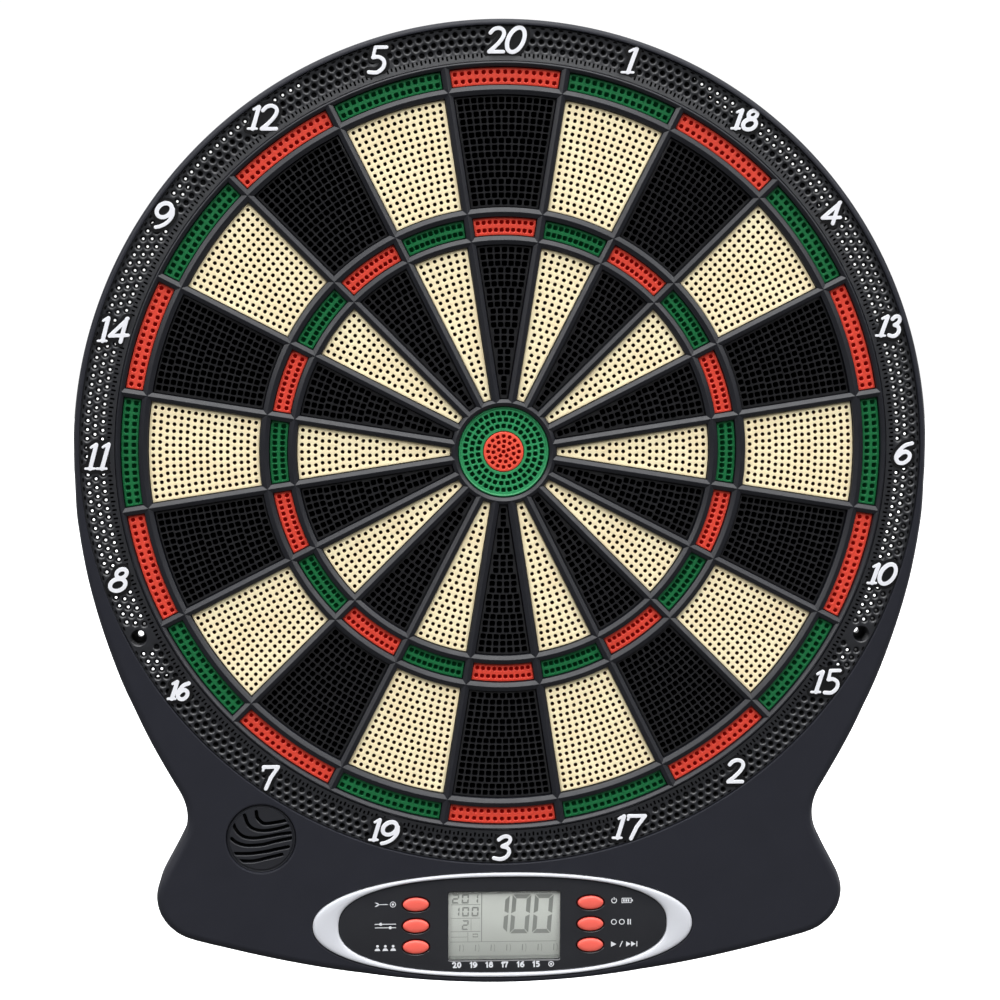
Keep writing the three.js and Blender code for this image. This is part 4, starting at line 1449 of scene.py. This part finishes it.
def lcd_faint_marks():
    """Rules, seven pairs of a curved and a leaning stroke, and a strip along the foot."""
    marks = [box(*corners) for corners in LCD_RULES]
    for i in range(7):
        cx = -20.4 + LABEL_PITCH * i
        angles = [math.radians(t) for t in range(-80, 81, 20)]
        curve = [(cx + 0.45 * math.cos(t), -262.0 + 2.1 * math.sin(t)) for t in angles]
        marks.append(curve + [(x - 0.25, y) for x, y in reversed(curve)])
        marks.append([(cx - 1.9, -263.6), (cx - 1.45, -263.6), (cx - 1.25, -260.2),
                      (cx - 1.7, -260.2)])
    marks.append(box(-27.5, -267.5, 30.2, -266.0))
    return marks


def lcd_shell():
    shell = Shell()
    top, back = shell.stack([
        (lcd_rect(30.3, 19.8, 0.7), 21.4), (lcd_rect(30.6, 20.1, 0.8), 21.2),
        (lcd_rect(30.6, 20.1, 0.8), 17.8),
    ])
    shell.cap([top])
    shell.cap([back], 2)
    inked = [outline for digit in LCD_DIGITS for outline in seven_bars(*digit)]
    for outlines, slot in ((inked, 1), (lcd_faint_marks(), 3)):
        for outline in outlines:
            slab(shell, outline, back_z=21.38, top_z=21.46, slot=slot)
    return shell


def window_shell():
    shell = Shell()
    shell.solid([
        (window_rect(-0.3, 0.8), 23.5), (window_rect(0, 1.0), 23.25), (window_rect(0, 1.0), 22.0),
    ])
    return shell


attach(make("lcd_display", lcd_shell(), "lcd", "lcd_ink", "lcd_frame", "lcd_faint", sharp=40),
       "lcd", "lcd_module")
attach(make("lcd_cover_window", window_shell(), "glass", sharp=40), "window", "lcd_window")

# ------------------------------------------------------------------ loudspeaker grille
# Centre line of each slot, x and y from the grille's centre, from the top down
GRILLE_SLOTS = [
    [(-2.4, 14.2), (-2, 11.2), (-0.5, 9.2), (1.6, 7.8), (5.4, 8), (9.8, 8.7), (13.7, 9.5)],
    [(-8.5, 12.4), (-7.6, 9.5), (-6.7, 7.4), (-4.9, 5.6), (-2, 4.4), (1.6, 4), (5.4, 4.4),
     (9.8, 5.3), (14.3, 6.6)],
    [(-14.4, 8), (-13.2, 5), (-11.4, 2.7), (-8.8, 0.9), (-4.9, 0.15), (-1.1, 0.3), (3.9, 1),
     (9.8, 2.1), (16.0, 2.8)],
    [(-15.3, 0), (-13.2, -1.8), (-10.5, -3), (-7.3, -3.7), (-3.5, -3.7), (1, -3.3),
     (5.4, -2.2), (9.8, -1.2), (16.0, 0)],
    [(-15, -8), (-10.8, -8.1), (-5.8, -8.1), (-0.5, -7.5), (3.9, -6.8), (8.4, -5.8),
     (14, -4.7)],
    [(-12.3, -11.8), (-5.8, -12.1), (-2, -11.7), (2.5, -10.6), (6.9, -9.6), (10.7, -8.7)],
]
SLOT_HALF_WIDTH = 0.88
SLOT_LIMIT_R = 16.0  # slots end at this radius


def grille_shell():
    shell = Shell()
    front_z, back_z = 23.1, 21.2
    ends = [shell.stack(circles(
        72, SPEAKER_X, SPEAKER_Y, (GRILLE_R - 1.4, front_z), (GRILLE_R - 1.0, 22.55),
        (GRILLE_R - 0.45, 22.5), (GRILLE_R - 0.1, 23.0), (GRILLE_R, 22.9), (GRILLE_R, back_z)))]
    xs = np.arange(-18, 18, 0.2)
    X, Y = np.meshgrid(xs, xs)
    field = stroke_field([(smooth_line(p, 6), SLOT_HALF_WIDTH) for p in GRILLE_SLOTS], X, Y)
    field = np.maximum(field, np.hypot(X, Y) - SLOT_LIMIT_R)
    outlines = [respaced(p, 0.55) for p in contours(field, xs, xs)]
    for outline in outlines:
        if abs(signed_area(outline)) > 2:
            hole = [(x + SPEAKER_X, y + SPEAKER_Y) for x, y in anticlockwise(outline)]
            ends.append(shell.stack([
                (offset(hole, -0.28), front_z), (offset(hole, -0.08), 22.95), (hole, 22.6),
                (hole, back_z),
            ]))
    for loops in zip(*ends):
        shell.cap(list(loops))
    return shell


attach(make("speaker_grille_disc", grille_shell(), "grille", sharp=35), "ring", "speaker_grille")

# ------------------------------------------------------------------ rear housing
# (degrees from the top, radius), the same on both sides
REAR_PLATE = [
    (0, 215.4), (27, 215.4), (31, 210.6), (48, 210.6), (58, 203.2), (112, 203.2), (122, 206.5),
    (180, 206.5),
]
REAR_WALL = [(0, 206.5), (48, 206.5), (58, 203.2), (112, 203.2), (122, 206.5), (180, 206.5)]
BAY = (102.2, -245.2, 158.2, -199.2)  # battery bay: x0, y0, x1, y1
DOOR = inset(BAY, 0.8)  # opening for the battery door
DOOR_X = (DOOR[0] + DOOR[2]) / 2


def radius_at(table, deg):
    """Radius from a table of stations, eased between them."""
    deg = abs((deg + 180) % 360 - 180)
    for (a0, r0), (a1, r1) in zip(table, table[1:]):
        if deg <= a1:
            return r0 + (r1 - r0) * smoothstep((deg - a0) / (a1 - a0))


def clear_of_wall(points):
    """Moves points out from the bull where they would meet the round wall."""
    scaled = [(x, y, max(1.0, 206.62 / math.hypot(x, y))) for x, y in points]
    return [(x * k, y * k) for x, y, k in scaled]


def rear_shell():
    shell = Shell()
    crown = [polar(radius_at(REAR_PLATE, deg), deg) for deg in range(125, -126, -1)]
    outline = crown + edge_below(-121.4, 2.75)
    plate_back, plate_inner = shell.stack([
        (offset(outline, 0.55), 0.0), (offset(outline, 0.15), 0.18), (outline, 0.6),
        (outline, REAR_SKIN_Z),
    ])
    back, inner = [plate_back], [plate_inner]
    # round grooves in the back
    for r in (52.0, 104.0, 156.0, 190.0):
        back += shell.stack(rings(
            240, (r + 1.0, 0.0), (r + 0.5, 0.55), (r - 0.5, 0.55), (r - 1.0, 0.0)))
    # round wall
    angles = [360.0 * i / 360 for i in range(360)]
    inner += shell.stack([
        ([polar(radius_at(REAR_WALL, deg) - d, deg) for deg in angles], z)
        for d, z in ((0.35, REAR_SKIN_Z), (0.15, 2.7), (0.15, 19.9), (0.45, 20.2), (1.95, 20.2),
                     (2.3, 19.9), (2.3, REAR_SKIN_Z))
    ])
    # battery bay: outside, inside closed towards the front, opening for the door
    outside = rrect(*inset(BAY, -1.6), 1.6)
    inner.append(shell.capped([(outside, REAR_SKIN_Z), (outside, 19.4)]))
    inside = rrect(*BAY, 0.8)
    bay_end, bay_mouth = shell.stack([(inside, 18.0), (inside, REAR_SKIN_Z)])
    shell.cap([bay_end])
    door_inner, door_back = shell.stack([
        (rrect(*inset(DOOR, -d), 1.2), z) for d, z in ((0.0, REAR_SKIN_Z), (0.0, 0.3), (0.3, 0.0))
    ])
    inner += [bay_mouth, door_inner]
    back.append(door_back)
    # screw wells
    for x, y in SCREWS + RING_POSTS:
        levels = [
            (clear_of_wall(circle(r, 32, x, y)), z)
            for r, z in ((5.0, REAR_SKIN_Z), (5.0, 4.1), (4.7, 4.4))
        ]
        levels += circles(
            32, x, y, (1.8, 4.4), (1.8, REAR_SKIN_Z), (3.4, REAR_SKIN_Z), (3.4, 0.3), (3.7, 0.0))
        well_inner, well_back = shell.stack(levels)
        inner.append(well_inner)
        back.append(well_back)
    # ribs under the damping mat
    for deg in (0, 60, 120):
        for r in (55, 150):
            for side in (1, -1):
                x, y = (side * v for v in polar(r, deg))
                rib = rrect(x - 14, y - 0.8, x + 14, y + 0.8, 0.5)
                inner.append(shell.capped([(rib, REAR_SKIN_Z), (rib, 3.3)]))
    shell.cap(back)
    shell.cap(inner)
    return shell


rear = make("rear_housing_shell", rear_shell(), "rear")
# notch through the foot of the round wall
notch = rrect(-11, -210, 11, -199.5, 0.8)
cut(rear, [(notch, REAR_SKIN_Z + 0.01), (notch, 9.0)])
# clearance for the ring's bosses
for x, y in BOSSES:
    cut(rear, circles(48, x, y, (7.0, -1.0), (7.0, 22.0)))
# finger scoop at the foot of the battery door
scoop_angles = [math.radians(t) for t in range(0, 360, 12)]
scoop = [(DOOR_X + 6.2 * math.cos(t), -244.2 + 3.4 * math.sin(t)) for t in scoop_angles]
cut(rear, [(offset(scoop, -0.4), -1.0), (scoop, 0.4), (offset(scoop, 0.5), 1.1)])
attach(crisp_caps(rear), "rear", "rear_housing")


# ------------------------------------------------------------------ battery door
def door_shell():
    shell = Shell()
    panel = inset(DOOR, 0.4)
    x0, y0, x1, y1 = panel
    inner_z = 2.3
    door_back, door_inner = shell.stack([
        (rrect(*inset(panel, d), r), z)
        for d, r, z in ((0.35, 1.0, 0.3), (0.1, 1.1, 0.4), (0, 1.2, 0.65), (0, 1.2, inner_z))
    ])
    back, inner = [door_back], [door_inner]
    # five grip grooves, the middle one longest
    for i in range(5):
        y = y0 + 4.2 + 2.4 * i
        half = 9.5 - 1.1 * abs(i - 2)
        groove = (DOOR_X - half, y, DOOR_X + half, y + 1.2)
        back.append(shell.capped([
            (rrect(*inset(groove, d), 0.55 - d), z) for d, z in ((0.0, 0.3), (0.12, 0.6), (0.3, 0.9))
        ]))
    # two hooks along the upper edge
    for x in (114, 140):
        inner.append(shell.capped([
            (rrect(x, y1 - 2.4 - d, x + 7, y1 - 0.3, 0.5), z)
            for d, z in ((0.0, inner_z), (0.0, 4.0), (-0.4, 4.3))
        ]))
    # stiffening frame
    inner += shell.stack([
        (rrect(x0 + 4 + d, y0 + 5 + d, x1 - 4 - d, y1 - 6 - d, 1.5), z)
        for d, z in ((0.0, inner_z), (0.2, 2.9), (1.0, 2.9), (1.2, inner_z))
    ])
    shell.cap(back)
    shell.cap(inner)
    return shell


attach(crisp_caps(make("battery_door_panel", door_shell(), "rear")),
       "rear", "battery_door", body="battery_cover")


# ------------------------------------------------------------------ screws
def screw_shell(x, y):
    shell = Shell()
    head_foot, head_top = shell.stack(circles(
        28, x, y, (3.1, 2.1), (3.1, 1.35), (2.95, 0.95), (2.6, 0.68), (2.2, 0.55)))

    def cross(scale):
        w, l = 0.42 * scale, 1.9 * scale
        return [p for i in range(4) for p in turned([(w, w), (w, l), (-w, l)], -90 * i, x, y)]

    recess = shell.capped([(cross(1.0), 0.55), (cross(0.62), 1.6)])
    shell.cap([head_top, recess])
    shank = [(1.2, 2.1)]
    for i in range(11):
        z = 2.4 + i
        shank += [(1.2, z), (1.62, z + 0.35), (1.2, z + 0.7)]
    shank += [(1.1, 13.3), (0.5, 14.0)]
    shank_foot, tip = shell.stack(circles(28, x, y, *shank))
    shell.cap([head_foot, shank_foot])
    shell.cap([tip])
    return shell


for i, (x, y) in enumerate(SCREWS + RING_POSTS[::-1]):
    attach(make("case_screw_%d_threaded" % (i + 1), screw_shell(x, y), "steel"),
           "screw", "case_screw_%d" % (i + 1))

# ------------------------------------------------------------------ battery cells
# Profile from the flat end to the nub: distance along the cell, radius
CELL_PROFILE = [
    (0.0, 5.2), (0.15, 5.6), (0.35, 6.6), (0.25, 7.0), (0.6, 7.25), (47.6, 7.25), (48.9, 7.2),
    (49.2, 6.9), (49.0, 6.3), (49.25, 5.6), (49.25, 2.7), (50.3, 2.65), (50.5, 2.4),
]
CELL_SLOTS = [1, 1, 1, 0, 0, 2, 2, 1, 1, 1, 1, 1]  # one for each band of the profile
CELL_ENDS = (105.0, 155.5)
CELL_Z = 10.4
CELL_STEPS = 40


def cell_shell(y, flipped):
    """Cell turned about a line along x; flipped puts its nub on the left."""
    shell = Shell()
    loops = []
    for along, r in CELL_PROFILE:
        x = CELL_ENDS[1] - along if flipped else CELL_ENDS[0] + along
        start = len(shell.verts)
        for i in range(CELL_STEPS):
            t = 2 * math.pi * i / CELL_STEPS
            shell.verts.append((x, y + r * math.cos(t), CELL_Z + r * math.sin(t)))
        loops.append(list(range(start, start + CELL_STEPS)))
    for a, b, slot in zip(loops, loops[1:], CELL_SLOTS):
        shell.bridge(a, b, slot)
    shell.ngon(loops[0], CELL_SLOTS[0])
    shell.ngon(loops[-1], CELL_SLOTS[-1])
    return shell


for i, y in enumerate((-207.2, -222.2, -237.2)):
    attach(make("battery_cell_%d" % (i + 1), cell_shell(y, i % 2 == 1), "cell", "copper", "trim"),
           "cell", "battery_%d" % (i + 1))

# ------------------------------------------------------------------ CAD parts kept as they are
CAD_MATERIALS = {
    "lcd_connector": "silicone", "keypad_left": "silicone", "keypad_right": "silicone",
    "circuit_board": "board", "speaker": "speaker", "backing_foam": "foam",
    "sensor_membrane": "film", "ribbon_cable": "film",
    "battery_contact_inner": "copper", "battery_contact_outer": "copper",
    "battery_lead": "wire_red", "speaker_lead": "wire_black",
}
for node, key in CAD_MATERIALS.items():
    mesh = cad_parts[node].data
    mesh.materials.clear()
    mesh.materials.append(MATERIALS[key])

# ------------------------------------------------------------------ stage, light, camera (metres)
scene = bpy.context.scene


def build_floor():
    """Pale glowing floor for the camera, dull grey for every other ray."""
    mesh = bpy.data.meshes.new("floor")
    mesh.from_pydata([(x, y, -0.62) for x, y in box(-8, -8, 8, 8)], [], [(0, 1, 2, 3)])
    material = plastic("floor_pale", (250, 250, 251), rough=0.8, spec=0.1, mottle=0.01, glow=0.6)
    tree = material.node_tree
    light_path = add_node(tree, "LightPath")
    mix = add_node(tree, "MixShader")
    dull = add_node(tree, "BsdfDiffuse", {"Color": (0.10, 0.10, 0.10, 1)})
    join(tree, light_path, "Is Camera Ray", mix, "Fac")
    join(tree, dull, "BSDF", mix, 1)
    join(tree, tree.nodes["Principled BSDF"], "BSDF", mix, 2)
    join(tree, mix, "Shader", tree.nodes["Material Output"], "Surface")
    mesh.materials.append(material)
    floor = bpy.data.objects.new("floor", mesh)
    scene.collection.objects.link(floor)


def build_world():
    """White for the camera; other rays see light from above and from behind the board."""
    world = bpy.data.worlds.new("studio")
    scene.world = world
    world.use_nodes = True
    tree = world.node_tree
    tree.nodes.clear()
    output = add_node(tree, "OutputWorld")
    mix = add_node(tree, "MixShader")
    light_path = add_node(tree, "LightPath")
    backdrop = add_node(tree, "Background", {"Color": (1, 1, 1, 1), "Strength": 1.05})
    ambient = add_node(tree, "Background", {"Color": (0.97, 0.98, 1.0, 1)})
    coords = add_node(tree, "TexCoord")
    axes = add_node(tree, "SeparateXYZ")
    join(tree, coords, "Generated", axes, "Vector")
    above = add_node(tree, "MapRange", {
        "From Min": 0.25, "From Max": 0.95, "To Min": 0.03, "To Max": 1.8})
    join(tree, axes, "Z", above, "Value")
    behind = add_node(tree, "MapRange", {
        "From Min": 0.6, "From Max": 0.95, "To Min": 0.0, "To Max": 0.8})
    join(tree, axes, "Y", behind, "Value")
    total = add_node(tree, "Math")
    total.operation = "ADD"
    join(tree, above, "Result", total, 0)
    join(tree, behind, "Result", total, 1)
    join(tree, total, "Value", ambient, "Strength")
    join(tree, light_path, "Is Camera Ray", mix, "Fac")
    join(tree, ambient, "Background", mix, 1)
    join(tree, backdrop, "Background", mix, 2)
    join(tree, mix, "Shader", output, "Surface")


def area_light(name, location, size, power, size_y=None, aim=(0, 0, -0.05)):
    light = bpy.data.lights.new(name, "AREA")
    light.energy = power
    light.size = size
    if size_y:
        light.shape = "RECTANGLE"
        light.size_y = size_y
    ob = bpy.data.objects.new(name, light)
    ob.location = location
    ob.rotation_euler = (Vector(aim) - Vector(location)).to_track_quat("-Z", "Y").to_euler()
    ob.visible_camera = False
    scene.collection.objects.link(ob)


def build_camera():
    data = bpy.data.cameras.new("camera")
    data.lens = 88.87
    data.sensor_width = 36
    data.clip_start = 0.05
    data.clip_end = 50
    camera = bpy.data.objects.new("camera", data)
    right = Vector((0.99828, -0.05848, 0.00416))
    up = Vector((0.00243, 0.11211, 0.99369))
    forward = Vector((0.05858, 0.99198, -0.11206))
    turn = Matrix((right, up, -forward)).transposed().to_4x4()
    camera.matrix_world = Matrix.Translation((-0.0763, -1.2833, 0.1176)) @ turn
    scene.collection.objects.link(camera)
    scene.camera = camera


build_floor()
build_world()
area_light("key_left", location=(-4.75, -4.25, 2.9), size=2.3, power=122)
area_light("key_right", location=(5.0, -4.0, 3.2), size=2.3, power=114)
area_light("key_top", location=(0.0, -4.0, 4.35), size=4.5, size_y=2.3, power=158)
area_light("rim_right", location=(2.6, 0.55, -0.3), size=1.0, power=14, aim=(0.2, 0, -0.15))
area_light("rim_left", location=(-2.6, 0.55, -0.1), size=1.0, power=7, aim=(-0.2, 0, -0.15))
area_light("top", location=(0.0, -1.3, 4.75), size=5.5, size_y=2.8, power=138)
build_camera()
scene.view_settings.view_transform = "Standard"
scene.view_settings.look = "None"
